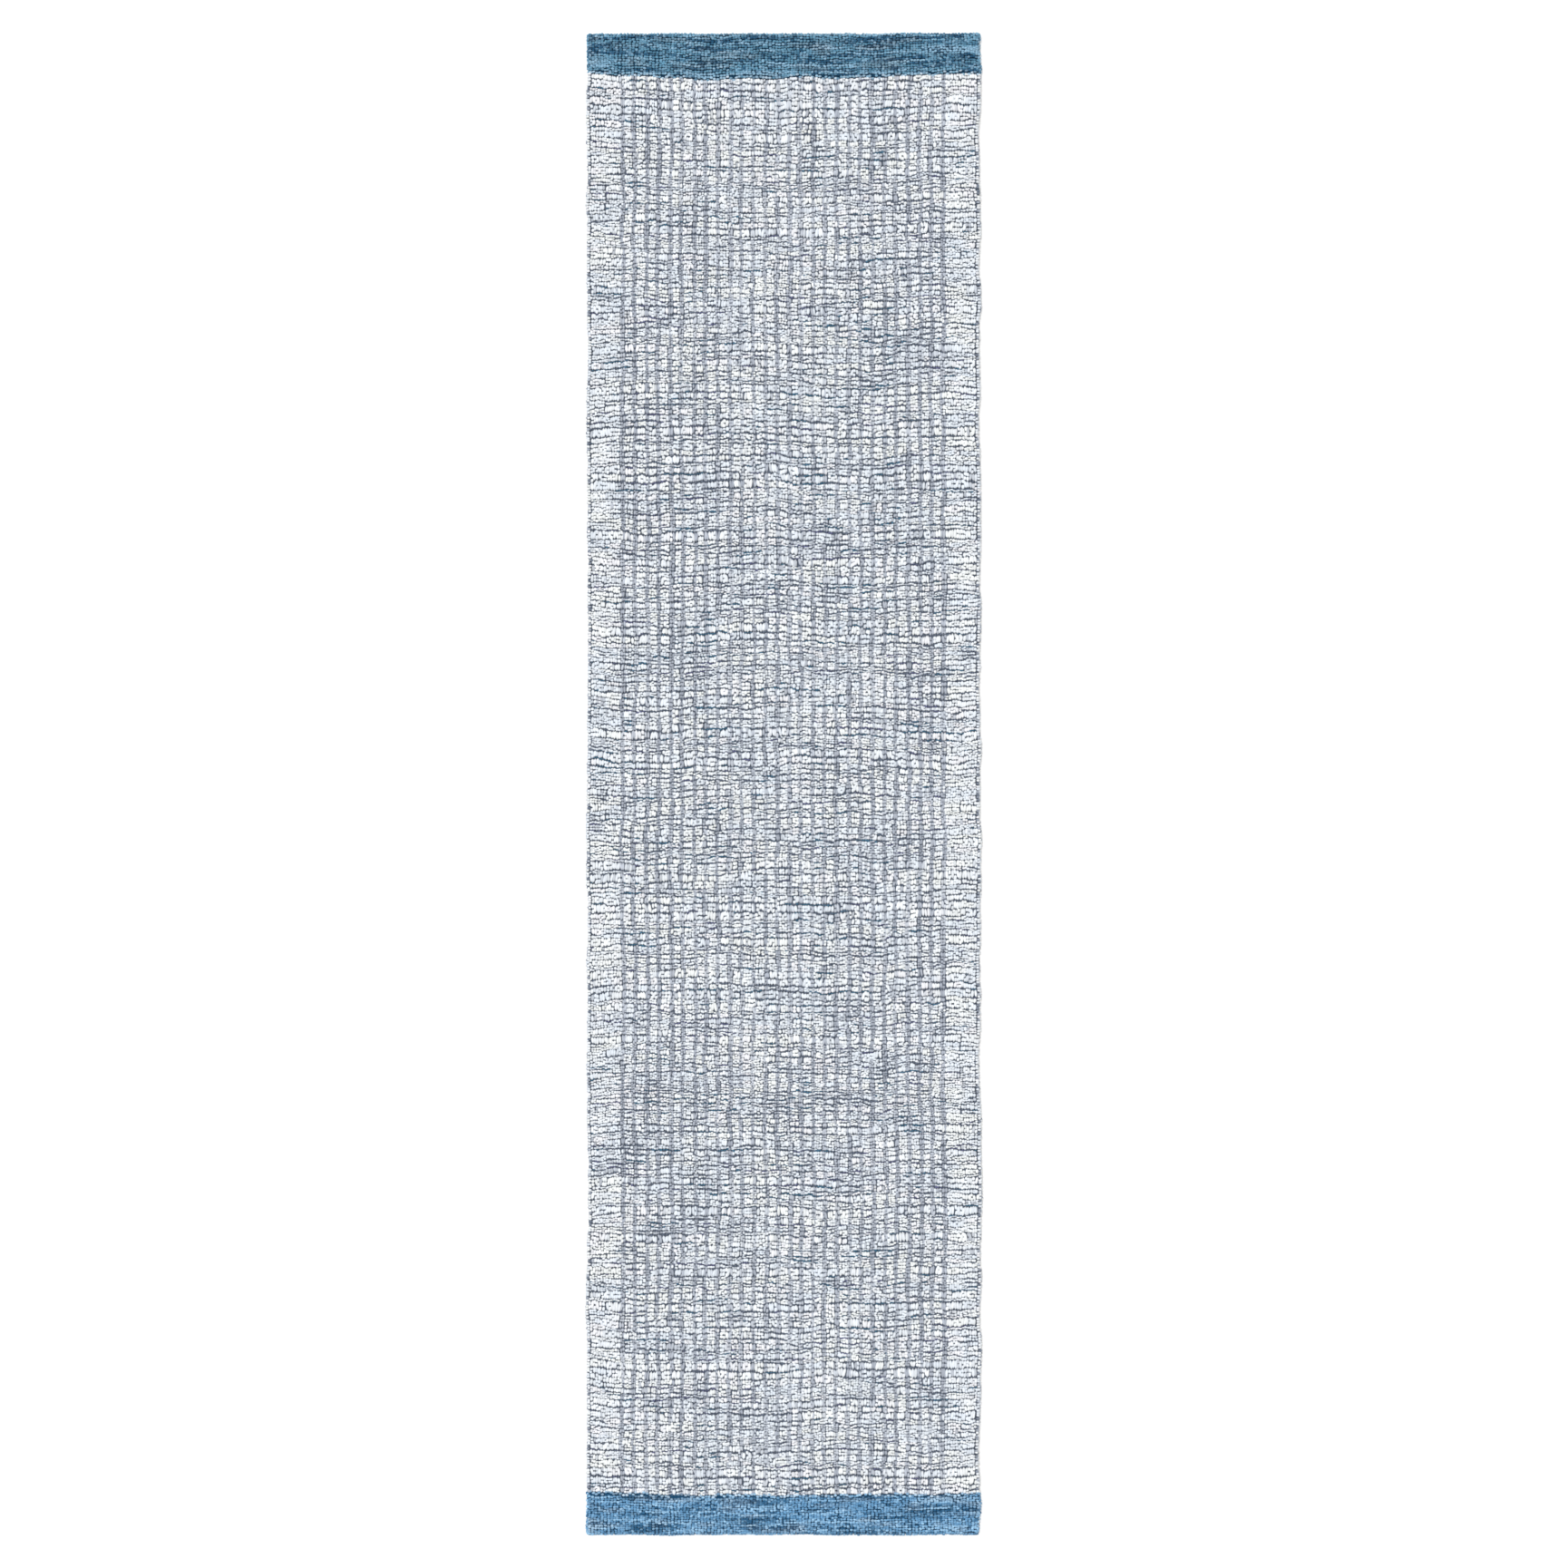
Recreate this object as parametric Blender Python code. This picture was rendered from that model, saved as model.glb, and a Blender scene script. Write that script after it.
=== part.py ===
"""Hand-tufted runner rug: wool loop pile on a woven backing with turned hems, a latex coat, a canvas
and binding tape underneath. Metres, +Z up. The rug lies flat on z = 0, with its length along Y."""

import math

import bmesh
import bpy

# Overall size of the pile's outline.
RUG_WIDTH = 0.686
RUG_LENGTH = 2.606
CORNER_RADIUS = 0.007
CORNER_STEPS = 8

# Pieces that lie on or beside each other keep this gap.
SEAT_GAP = 0.0003

# Thickness of each layer.
CANVAS_THICKNESS = 0.0008
TAPE_THICKNESS = 0.0008
CLOTH_THICKNESS = 0.0007
LATEX_THICKNESS = 0.0012
LABEL_THICKNESS = 0.0003
PILE_HEIGHT = 0.0090

# The backing stops short of the pile, which leans out over it.
PILE_OVERHANG = 0.0030

# The backing cloth's turned hem and the tape that covers it, measured in from the backing's edge.
HEM_WIDTH = 0.038
TAPE_WIDTH = 0.030
MITRE_GAP = 0.0006

# The two plain end bands, the loop rows along the long edges, and the slate stripes between them. The
# side margin runs from the rug's edge to the middle of the first stripe.
BAND_LENGTH = 0.073
EDGE_ROW_WIDTH = 0.008
SIDE_MARGIN = 0.0649
STRIPE_COUNT = 28
STRIPE_WIDTH = 0.0080
STRIPE_DROP = 0.0010
STRIPE_CROWN = 0.0015
PILE_ROOT = 0.0020

# How far the pile rolls over at the rug's outline.
PILE_ROLL = 0.0045
ROLL_STEPS = 4

# The sewn label on the underside, and how far its middle is from the backing's left side and near end.
LABEL_WIDTH = 0.070
LABEL_LENGTH = 0.045
LABEL_FROM_SIDE = 0.130
LABEL_FROM_END = 0.180

# Heights of the layers, worked out from the floor up.
HEM_BOTTOM = max(CANVAS_THICKNESS, TAPE_THICKNESS) + SEAT_GAP
HEM_TOP = HEM_BOTTOM + CLOTH_THICKNESS
LATEX_STEP = HEM_TOP + SEAT_GAP
LATEX_TOP = LATEX_STEP + LATEX_THICKNESS
CLOTH_BOTTOM = LATEX_TOP + SEAT_GAP
CLOTH_TOP = CLOTH_BOTTOM + CLOTH_THICKNESS
PILE_BOTTOM = CLOTH_TOP + SEAT_GAP
PILE_TOP = PILE_BOTTOM + PILE_HEIGHT

# Outlines that several pieces share.
BACKING_WIDTH = RUG_WIDTH - 2 * PILE_OVERHANG
BACKING_LENGTH = RUG_LENGTH - 2 * PILE_OVERHANG
BACKING_RADIUS = CORNER_RADIUS - PILE_OVERHANG
FIELD_LENGTH = RUG_LENGTH - 2 * (BAND_LENGTH + SEAT_GAP)
GROUND_WIDTH = RUG_WIDTH - 2 * (EDGE_ROW_WIDTH + SEAT_GAP)
STRIPE_PITCH = (RUG_WIDTH - 2 * SIDE_MARGIN) / (STRIPE_COUNT - 1)
LABEL_X = LABEL_FROM_SIDE - BACKING_WIDTH / 2
LABEL_Y = LABEL_FROM_END - BACKING_LENGTH / 2


def clear_scene():
    for obj in list(bpy.data.objects):
        bpy.data.objects.remove(obj)


def make_material(name, colour, roughness):
    material = bpy.data.materials.new(name)
    material.use_nodes = True
    shader = material.node_tree.nodes["Principled BSDF"]
    shader.inputs["Base Color"].default_value = (*colour, 1.0)
    shader.inputs["Roughness"].default_value = roughness
    shader.inputs["Metallic"].default_value = 0.0
    return material


def arc(centre_x, centre_y, radius, start, end, steps):
    """Points on an arc, from one angle to the other, in degrees."""
    points = []
    for step in range(steps + 1):
        angle = math.radians(start + (end - start) * step / steps)
        points.append((centre_x + radius * math.cos(angle), centre_y + radius * math.sin(angle)))
    return points


def rounded_rectangle(width, length, radius):
    """Plan outline, anticlockwise from the -Y side of the +X, -Y corner."""
    x = width / 2 - radius
    y = length / 2 - radius
    points = arc(x, -y, radius, -90, 0, CORNER_STEPS)
    points += arc(x, y, radius, 0, 90, CORNER_STEPS)
    points += arc(-x, y, radius, 90, 180, CORNER_STEPS)
    points += arc(-x, -y, radius, 180, 270, CORNER_STEPS)
    return points


def box_outline(width, length, x=0.0, y=0.0):
    half_width = width / 2
    half_length = length / 2
    return [
        (x - half_width, y - half_length),
        (x + half_width, y - half_length),
        (x + half_width, y + half_length),
        (x - half_width, y + half_length),
    ]


def loft(levels):
    """A closed solid through plan outlines with the same number of points, from the lowest level up."""
    bm = bmesh.new()
    loops = []
    for points, height in levels:
        loops.append([bm.verts.new((x, y, height)) for x, y in points])
    count = len(loops[0])
    for lower, upper in zip(loops, loops[1:]):
        for i in range(count):
            after = (i + 1) % count
            bm.faces.new((lower[i], lower[after], upper[after], upper[i]))
    bm.faces.new(reversed(loops[0]))
    bm.faces.new(loops[-1])
    return bm


def extrude_along_y(profile, length):
    """A closed solid from an XZ profile, given anticlockwise as seen from -Y, centred on y = 0."""
    bm = bmesh.new()
    near = [bm.verts.new((x, -length / 2, z)) for x, z in profile]
    far = [bm.verts.new((x, length / 2, z)) for x, z in profile]
    count = len(profile)
    for i in range(count):
        after = (i + 1) % count
        bm.faces.new((near[i], far[i], far[after], near[after]))
    bm.faces.new(near)
    bm.faces.new(reversed(far))
    return bm


def add_piece(name, bm, material):
    bmesh.ops.recalc_face_normals(bm, faces=bm.faces)
    mesh = bpy.data.meshes.new(name)
    bm.to_mesh(mesh)
    bm.free()
    mesh.materials.append(material)
    obj = bpy.data.objects.new(name, mesh)
    bpy.context.scene.collection.objects.link(obj)
    return obj


def combine(target, name, bm, operation):
    """Joins a solid to the target, or cuts it away, with a Boolean that stays on the target."""
    helper = add_piece(name, bm, target.data.materials[0])
    helper.hide_render = True
    helper.display_type = "WIRE"
    modifier = target.modifiers.new(name, "BOOLEAN")
    modifier.operation = operation
    modifier.solver = "EXACT"
    modifier.object = helper


def roll_levels(outline, low, high, roll):
    """Levels of a slab whose top edge rolls over in a quarter circle. outline(inset) gives the plan."""
    levels = [(outline(0.0), low)]
    for step in range(ROLL_STEPS + 1):
        angle = math.radians(90 * step / ROLL_STEPS)
        inset = roll * (1 - math.cos(angle))
        levels.append((outline(inset), high - roll + roll * math.sin(angle)))
    return levels


def end_band_outline(direction, inset):
    """Plan of an end band at the +Y or -Y end. Its inner edge is straight and isn't inset."""
    half_width = RUG_WIDTH / 2 - inset
    outer = RUG_LENGTH / 2 - inset
    inner = RUG_LENGTH / 2 - BAND_LENGTH
    radius = CORNER_RADIUS - inset
    x = half_width - radius
    y = outer - radius
    points = [(-half_width, inner), (half_width, inner)]
    points += arc(x, y, radius, 0, 90, CORNER_STEPS)
    points += arc(-x, y, radius, 90, 180, CORNER_STEPS)
    if direction < 0:
        points = [(-px, -py) for px, py in points]
    return points


def make_end_band(name, direction, wool):
    levels = roll_levels(
        lambda inset: end_band_outline(direction, inset), PILE_BOTTOM, PILE_TOP, PILE_ROLL
    )
    add_piece(name, loft(levels), wool)


def stripe_centres():
    first = -STRIPE_PITCH * (STRIPE_COUNT - 1) / 2
    return [first + STRIPE_PITCH * i for i in range(STRIPE_COUNT)]


def make_ground_pile(wool):
    """The ivory pile of the field, with a channel for each slate stripe, over a layer of tuft roots."""
    half_channel = STRIPE_WIDTH / 2 + SEAT_GAP
    channel_floor = PILE_BOTTOM + PILE_ROOT
    top = []
    for centre in reversed(stripe_centres()):
        top.append((centre + half_channel, PILE_TOP))
        top.append((centre + half_channel, channel_floor))
        top.append((centre - half_channel, channel_floor))
        top.append((centre - half_channel, PILE_TOP))
    half = GROUND_WIDTH / 2
    profile = [(-half, PILE_BOTTOM), (half, PILE_BOTTOM), (half, PILE_TOP), *top, (-half, PILE_TOP)]
    add_piece("ground_pile", extrude_along_y(profile, FIELD_LENGTH), wool)


def make_stripes(wool):
    """One row of slate loops in each channel, a little lower than the ground and with crowned edges."""
    bottom = PILE_BOTTOM + PILE_ROOT + SEAT_GAP
    top = PILE_TOP - STRIPE_DROP
    half = STRIPE_WIDTH / 2
    for number, centre in enumerate(stripe_centres(), start=1):
        right = arc(centre + half - STRIPE_CROWN, top - STRIPE_CROWN, STRIPE_CROWN, 0, 90, ROLL_STEPS)
        left = arc(centre - half + STRIPE_CROWN, top - STRIPE_CROWN, STRIPE_CROWN, 90, 180, ROLL_STEPS)
        profile = [(centre - half, bottom), (centre + half, bottom), *right, *left]
        add_piece(f"slate_stripe_{number:02d}", extrude_along_y(profile, FIELD_LENGTH), wool)


def make_edge_row(name, side, wool):
    """The loops that run along one long edge. Their outer shoulder rolls over."""
    outer = RUG_WIDTH / 2
    inner = outer - EDGE_ROW_WIDTH
    shoulder = arc(outer - PILE_ROLL, PILE_TOP - PILE_ROLL, PILE_ROLL, 0, 90, ROLL_STEPS)
    profile = [(inner, PILE_BOTTOM), (outer, PILE_BOTTOM), *shoulder, (inner, PILE_TOP)]
    profile = [(side * x, z) for x, z in profile]
    add_piece(name, extrude_along_y(profile, FIELD_LENGTH), wool)


def strip_outline(run, half_depth, width, radius):
    """Plan of a strip along the -Y side of the backing, mitred at both ends. Its outer edge follows half
    of each rounded corner."""
    trim = MITRE_GAP / math.sqrt(2)
    x = run / 2 - radius - trim
    y = -half_depth + radius
    inner_x = run / 2 - width - trim
    points = arc(-x, y, radius, 225, 270, CORNER_STEPS)
    points += arc(x, y, radius, 270, 315, CORNER_STEPS)
    points += [(inner_x, width - half_depth), (-inner_x, width - half_depth)]
    return points


def backing_sides():
    """(name, length of the side, distance from the middle, quarter turns from the -Y side)."""
    return [
        ("near", BACKING_WIDTH, BACKING_LENGTH / 2, 0),
        ("right", BACKING_LENGTH, BACKING_WIDTH / 2, 1),
        ("far", BACKING_WIDTH, BACKING_LENGTH / 2, 2),
        ("left", BACKING_LENGTH, BACKING_WIDTH / 2, 3),
    ]


def turned(points, quarters):
    angle = math.radians(90 * quarters)
    cosine, sine = math.cos(angle), math.sin(angle)
    return [(x * cosine - y * sine, x * sine + y * cosine) for x, y in points]


def inset_outline(inset, radius):
    """The backing's plan, brought in by an inset on every side."""
    return rounded_rectangle(BACKING_WIDTH - 2 * inset, BACKING_LENGTH - 2 * inset, radius)


def mitre_outline(x_side, y_side):
    """A slit across one corner of the hem, from outside the cloth to inside the flap's inner edge."""
    reach = HEM_WIDTH + BACKING_RADIUS
    half = MITRE_GAP / math.sqrt(2)
    corner_x = BACKING_WIDTH / 2
    corner_y = BACKING_LENGTH / 2
    points = [
        (corner_x + half, corner_y - half),
        (corner_x - half, corner_y + half),
        (corner_x - reach - half, corner_y - reach + half),
        (corner_x - reach + half, corner_y - reach - half),
    ]
    return [(x_side * x, y_side * y) for x, y in points]


def make_primary_backing(cotton):
    """The cloth that the loops are tufted through. Along each side it turns down round the latex and
    back under it, and the four flaps meet at mitred corners."""
    outline = inset_outline(0.0, BACKING_RADIUS)
    cloth = add_piece("primary_backing", loft([(outline, HEM_BOTTOM), (outline, CLOTH_TOP)]), cotton)
    opening = inset_outline(HEM_WIDTH, BACKING_RADIUS)
    pocket = inset_outline(CLOTH_THICKNESS, BACKING_RADIUS - CLOTH_THICKNESS)
    levels = [(opening, 0.0), (opening, HEM_TOP), (pocket, HEM_TOP), (pocket, CLOTH_BOTTOM)]
    combine(cloth, "fold_pocket", loft(levels), "DIFFERENCE")
    for x_side in (-1, 1):
        for y_side in (-1, 1):
            slit = mitre_outline(x_side, y_side)
            name = f"mitre_{'left' if x_side < 0 else 'right'}_{'near' if y_side < 0 else 'far'}"
            combine(cloth, name, loft([(slit, 0.0), (slit, LATEX_STEP)]), "DIFFERENCE")


def make_tapes(cotton):
    for side, run, half_depth, quarters in backing_sides():
        plan = turned(strip_outline(run, half_depth, TAPE_WIDTH, BACKING_RADIUS), quarters)
        add_piece(f"binding_tape_{side}", loft([(plan, 0.0), (plan, TAPE_THICKNESS)]), cotton)


def label_outline(margin):
    return box_outline(LABEL_WIDTH + 2 * margin, LABEL_LENGTH + 2 * margin, LABEL_X, LABEL_Y)


def make_label(satin):
    plan = label_outline(0.0)
    add_piece("sewn_label", loft([(plan, 0.0), (plan, LABEL_THICKNESS)]), satin)


def make_canvas(cotton):
    """Fills the middle of the underside, and is pushed up over the label by the label's thickness."""
    inset = TAPE_WIDTH + SEAT_GAP
    width = BACKING_WIDTH - 2 * inset
    length = BACKING_LENGTH - 2 * inset
    plan = box_outline(width, length)
    canvas = add_piece("canvas_backing", loft([(plan, 0.0), (plan, CANVAS_THICKNESS)]), cotton)
    lift = LABEL_THICKNESS + SEAT_GAP
    bump = label_outline(SEAT_GAP + CANVAS_THICKNESS)
    middle = CANVAS_THICKNESS / 2
    top = CANVAS_THICKNESS + lift
    combine(canvas, "label_bump", loft([(bump, middle), (bump, top)]), "UNION")
    pocket = label_outline(SEAT_GAP)
    combine(canvas, "label_pocket", loft([(pocket, -CANVAS_THICKNESS), (pocket, lift)]), "DIFFERENCE")


def make_latex(rubber):
    """Reaches down to the canvas in the middle and steps up over the turned hems."""
    inner = inset_outline(HEM_WIDTH + SEAT_GAP, BACKING_RADIUS)
    wall = CLOTH_THICKNESS + SEAT_GAP
    outer = inset_outline(wall, BACKING_RADIUS - wall)
    bottom = CANVAS_THICKNESS + SEAT_GAP
    levels = [(inner, bottom), (inner, LATEX_STEP), (outer, LATEX_STEP), (outer, LATEX_TOP)]
    latex = add_piece("latex_coat", loft(levels), rubber)
    recess = label_outline(2 * SEAT_GAP + CANVAS_THICKNESS)
    recess_top = bottom + LABEL_THICKNESS + SEAT_GAP
    combine(latex, "label_recess", loft([(recess, 0.0), (recess, recess_top)]), "DIFFERENCE")


def main():
    clear_scene()
    ivory_wool = make_material("ivory_wool", (0.80, 0.82, 0.84), 0.95)
    slate_wool = make_material("slate_wool", (0.36, 0.39, 0.44), 0.95)
    blue_wool = make_material("blue_wool", (0.11, 0.24, 0.38), 0.95)
    backing_cotton = make_material("backing_cotton", (0.68, 0.65, 0.58), 0.90)
    tape_cotton = make_material("tape_cotton", (0.74, 0.72, 0.66), 0.90)
    canvas_cotton = make_material("canvas_cotton", (0.70, 0.66, 0.56), 0.90)
    latex_rubber = make_material("latex_rubber", (0.62, 0.58, 0.47), 0.60)
    label_satin = make_material("label_satin", (0.85, 0.85, 0.84), 0.45)

    make_end_band("end_band_far", 1, blue_wool)
    make_end_band("end_band_near", -1, blue_wool)
    make_ground_pile(ivory_wool)
    make_stripes(slate_wool)
    make_edge_row("edge_row_left", -1, ivory_wool)
    make_edge_row("edge_row_right", 1, ivory_wool)
    make_primary_backing(backing_cotton)
    make_latex(latex_rubber)
    make_canvas(canvas_cotton)
    make_tapes(tape_cotton)
    make_label(label_satin)


if __name__ == "__main__":
    main()
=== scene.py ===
"""Runner rug with a loop pile, laid flat in a plain studio. Metres, +Z up.

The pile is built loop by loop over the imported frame: ivory rows with thin dark accent rows between
them, slate stripes along the length, a row of loops along each long edge, and a blue band at each end.
Under it are the tufting cloth with its turned hem, the latex, the canvas, the binding tapes and a label.
"""

import math

import bpy
import numpy as np
from bpy.props import FloatProperty, FloatVectorProperty, IntProperty, PointerProperty
from bpy.types import Operator, Panel, PropertyGroup
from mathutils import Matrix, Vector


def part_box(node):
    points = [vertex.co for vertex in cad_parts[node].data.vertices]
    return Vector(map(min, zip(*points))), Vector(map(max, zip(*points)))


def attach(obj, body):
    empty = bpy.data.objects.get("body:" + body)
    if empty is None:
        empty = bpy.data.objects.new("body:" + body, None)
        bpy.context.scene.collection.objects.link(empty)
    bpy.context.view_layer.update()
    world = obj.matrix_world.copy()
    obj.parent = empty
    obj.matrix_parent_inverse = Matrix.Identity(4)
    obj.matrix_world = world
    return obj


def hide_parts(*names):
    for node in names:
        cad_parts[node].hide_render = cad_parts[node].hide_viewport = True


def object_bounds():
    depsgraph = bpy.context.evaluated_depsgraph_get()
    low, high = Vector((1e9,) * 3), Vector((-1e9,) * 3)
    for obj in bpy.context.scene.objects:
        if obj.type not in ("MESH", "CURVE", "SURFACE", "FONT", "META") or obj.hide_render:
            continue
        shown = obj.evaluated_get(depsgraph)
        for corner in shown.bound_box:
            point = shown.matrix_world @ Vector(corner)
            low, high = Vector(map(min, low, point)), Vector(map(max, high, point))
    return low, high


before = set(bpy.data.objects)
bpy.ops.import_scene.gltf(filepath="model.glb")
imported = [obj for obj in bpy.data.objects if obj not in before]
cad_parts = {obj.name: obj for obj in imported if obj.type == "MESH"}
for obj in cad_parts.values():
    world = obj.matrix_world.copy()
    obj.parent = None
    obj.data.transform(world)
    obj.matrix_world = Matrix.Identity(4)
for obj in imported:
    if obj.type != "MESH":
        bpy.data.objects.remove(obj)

bl_info = {
    "name": "Loop Pile Runner Rug",
    "version": (1, 0, 0),
    "blender": (4, 5, 0),
    "location": "3D View > Sidebar > Rug",
    "description": "Builds a striped loop-pile runner rug, its backing and a studio to show it in",
    "category": "Object",
}

BODY = "root"
ALL_LOW, ALL_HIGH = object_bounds()
GROUND_LOW, GROUND_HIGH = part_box("ground_pile")
BAND_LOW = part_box("end_band_far")[0]
EDGE_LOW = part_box("edge_row_right")[0]
CLOTH_LOW, CLOTH_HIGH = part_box("primary_backing")
CANVAS_LOW, CANVAS_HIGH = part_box("canvas_backing")
LABEL_LOW, LABEL_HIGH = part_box("sewn_label")
STRIPE_NODES = sorted(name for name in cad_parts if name.startswith("slate_stripe_"))
TAPE_NODES = sorted(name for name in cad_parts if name.startswith("binding_tape_"))

HALF_WIDTH = ALL_HIGH[0]
HALF_LENGTH = ALL_HIGH[1]
PILE_BASE = GROUND_LOW[2]
PILE_TOP = GROUND_HIGH[2]
FIELD_END = GROUND_HIGH[1]

END_HOLD = 0.060  # the rows come straight over this distance from each end
BED_INSET = 0.0035  # the root bed stays this far in from the rug's outline
BAND_INSET = 0.0045  # so do the upright loops of the bands
CORNER_SQUARE = 0.009  # the pile is rounded off within this square at each corner
CORNER_REACH = 0.0058  # how far the upright loops reach into that square
ROLL_RADIUS = 0.0075  # corner radius of the rolled edge
CLOTH_RADIUS = 0.0045  # corner radius of the cloth and the latex
TAPE_RADIUS = 0.0050  # outer corner radius of the tapes
CLOTH_THICKNESS = 0.0007
CANVAS_THICKNESS = 0.0006
HEM_PAST_TAPE = 0.008  # how far the hem reaches in beyond the tape
SHEET_SPACING = 0.012  # distance between points of a sheet, to the nearest whole number of them
FLAT_FROM, FLAT_TO = 0.020, 0.060  # insets between which a ring of a sheet lies flat
EDGE_PITCH = 0.0050  # loop spacing along the long edges
SEAM_INSET = 0.0030  # stitches lie this far in from the edges of tapes and label
LATTICE = (211, 701)  # random values across and along that drift runs between


def linear(red, green, blue):
    """A colour given as 0 to 255 screen values, as the linear values that shaders take."""
    values = (np.array([red, green, blue]) / 255) ** 2.2
    return tuple(float(value) for value in values)


# ---------------------------------------------------------------------------------------------------
# Settings


def length_property(name, description, default):
    return FloatProperty(
        name=name,
        description=description,
        default=default,
        min=0.0,
        subtype="DISTANCE",
        unit="LENGTH",
    )


def colour_property(name, description, default):
    return FloatVectorProperty(
        name=name,
        description=description,
        default=default,
        size=3,
        min=0.0,
        max=1.0,
        subtype="COLOR",
    )


class RugPileSettings(PropertyGroup):
    seed: IntProperty(
        name="Seed", description="Changes every uneven detail of the tufting", default=7, min=0
    )
    stripe_columns: IntProperty(
        name="Loops across a stripe",
        description="Columns of loops in each slate stripe",
        default=2,
        min=1,
        max=4,
    )
    ground_columns: IntProperty(
        name="Loops across a ground strip",
        description="Columns of loops in each ivory strip between two stripes",
        default=3,
        min=1,
        max=6,
    )
    row_pitch: length_property("Row pitch", "Distance from one ivory row to the next", 0.0088)
    row_wobble: length_property("Row wobble", "How far a row line strays over a few loops", 0.0021)
    row_sway: length_property("Row sway", "How far the rows bow across the width", 0.0060)
    side_wander: length_property("Side wander", "How far the lengthwise lines stray sideways", 0.0026)
    accent_width: length_property("Accent width", "Width of a full dark accent row", 0.0027)
    band_pitch: length_property("Band row pitch", "Row spacing in the blue end bands", 0.0039)
    band_column: length_property("Band column pitch", "Loop spacing along a row of the bands", 0.0053)
    loop_depth: length_property("Loop depth", "Height of a loop above the bed of roots", 0.0050)
    stripe_drop: length_property("Stripe drop", "How much lower the slate loops stand", 0.0011)


class RugYarnSettings(PropertyGroup):
    ivory: colour_property("Ivory", "Main yarn of the ground", linear(223, 227, 231))
    warm_ivory: colour_property("Warm ivory", "Ground where it is creamier", linear(227, 230, 230))
    cool_ivory: colour_property("Cool ivory", "Ground where it is bluer", linear(212, 219, 227))
    rosy_ivory: colour_property("Rosy ivory", "Ground where it is faintly pink", linear(226, 227, 231))
    slate: colour_property("Slate", "Yarn of the stripes", linear(171, 177, 188))
    dark_slate: colour_property("Dark slate", "Yarn of the accent rows", linear(99, 108, 123))
    teal: colour_property("Teal accent", "Accent rows that turn teal", linear(68, 103, 126))
    plum: colour_property("Plum accent", "Accent rows that turn plum", linear(94, 97, 128))
    far_blue: colour_property("Far band blue", "Main yarn of the far band", linear(90, 135, 160))
    near_blue: colour_property("Near band blue", "Main yarn of the near band", linear(95, 141, 178))
    far_navy: colour_property("Far band navy", "Dark streaks of the far band", linear(31, 75, 105))
    near_navy: colour_property("Near band navy", "Dark streaks of the near band", linear(37, 84, 119))
    far_sky: colour_property("Far band sky", "Light flecks of the far band", linear(138, 174, 198))
    near_sky: colour_property("Near band sky", "Light flecks of the near band", linear(151, 191, 220))


class RugBackingSettings(PropertyGroup):
    cloth: colour_property("Tufting cloth", "Cotton cloth under the pile", linear(214, 208, 192))
    canvas: colour_property("Canvas", "Cotton canvas of the underside", linear(206, 196, 170))
    tape: colour_property("Tape", "Binding tape of the underside", linear(222, 217, 204))
    label: colour_property("Label", "Blank satin label", linear(238, 238, 234))
    latex: colour_property("Latex", "Dried latex", linear(206, 196, 162))
    thread: colour_property("Thread", "Sewing thread of tapes and label", linear(236, 230, 214))
    stitch_pitch: length_property("Stitch pitch", "Distance from stitch to stitch", 0.0062)
    stitch_length: length_property("Stitch length", "Length of thread that shows", 0.0042)
    thread_width: length_property("Thread width", "Thickness of the sewing thread", 0.0007)


class RugStageSettings(PropertyGroup):
    floor_colour: colour_property("Floor", "Plain pale floor", (0.95, 0.95, 0.95))
    ambient: FloatProperty(
        name="Ambient light", description="Strength of the even light", default=0.80, min=0.0
    )
    key_strength: FloatProperty(
        name="Key light", description="Strength of the wide soft light from above", default=2.1, min=0.0
    )
    lens: FloatProperty(
        name="Lens", description="Focal length of the camera", default=100.0, min=10.0, unit="CAMERA"
    )
    framed_length: length_property("Framed length", "Floor length that the picture spans", 2.718)


# ---------------------------------------------------------------------------------------------------
# Uneven values: everything that a tufter's hand or a dye bath varies


def drift(x, y, size_x, size_y, seed):
    """Smooth values from -1 to 1 that change over size_x by size_y metres."""
    lattice = np.random.default_rng(seed).uniform(-1.0, 1.0, LATTICE)
    wide, long = LATTICE
    u = np.asarray(x) / size_x + 89.37
    v = np.asarray(y) / size_y + 311.71
    i = np.floor(u).astype(int)
    j = np.floor(v).astype(int)
    f = u - i
    g = v - j
    f = f * f * (3 - 2 * f)
    g = g * g * (3 - 2 * g)
    left, right = i % wide, (i + 1) % wide
    low, high = j % long, (j + 1) % long
    near = lattice[left, low] * (1 - f) + lattice[right, low] * f
    far = lattice[left, high] * (1 - f) + lattice[right, high] * f
    return near * (1 - g) + far * g


def row_drift(x, row, size, seed):
    """As drift, along x only, and unrelated from row to row."""
    return drift(x, np.asarray(row) + 0.29, size, 1.0, seed)


def ramp(value, low, high):
    """0 below low, 1 above high, and smooth between them."""
    share = np.clip((value - low) / (high - low), 0.0, 1.0)
    return share * share * (3 - 2 * share)


def blend(first, second, share):
    share = np.asarray(share)[..., None]
    return first * (1 - share) + second * share


def hump(distance, spread):
    """1 at no distance, and falling to nothing over about twice the spread."""
    return np.exp(-((distance / spread) ** 2))


def off_the_end(y):
    """0 at both ends of the rug and 1 beyond END_HOLD from them."""
    return np.clip((HALF_LENGTH - np.abs(y)) / END_HOLD, 0.0, 1.0)


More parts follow.
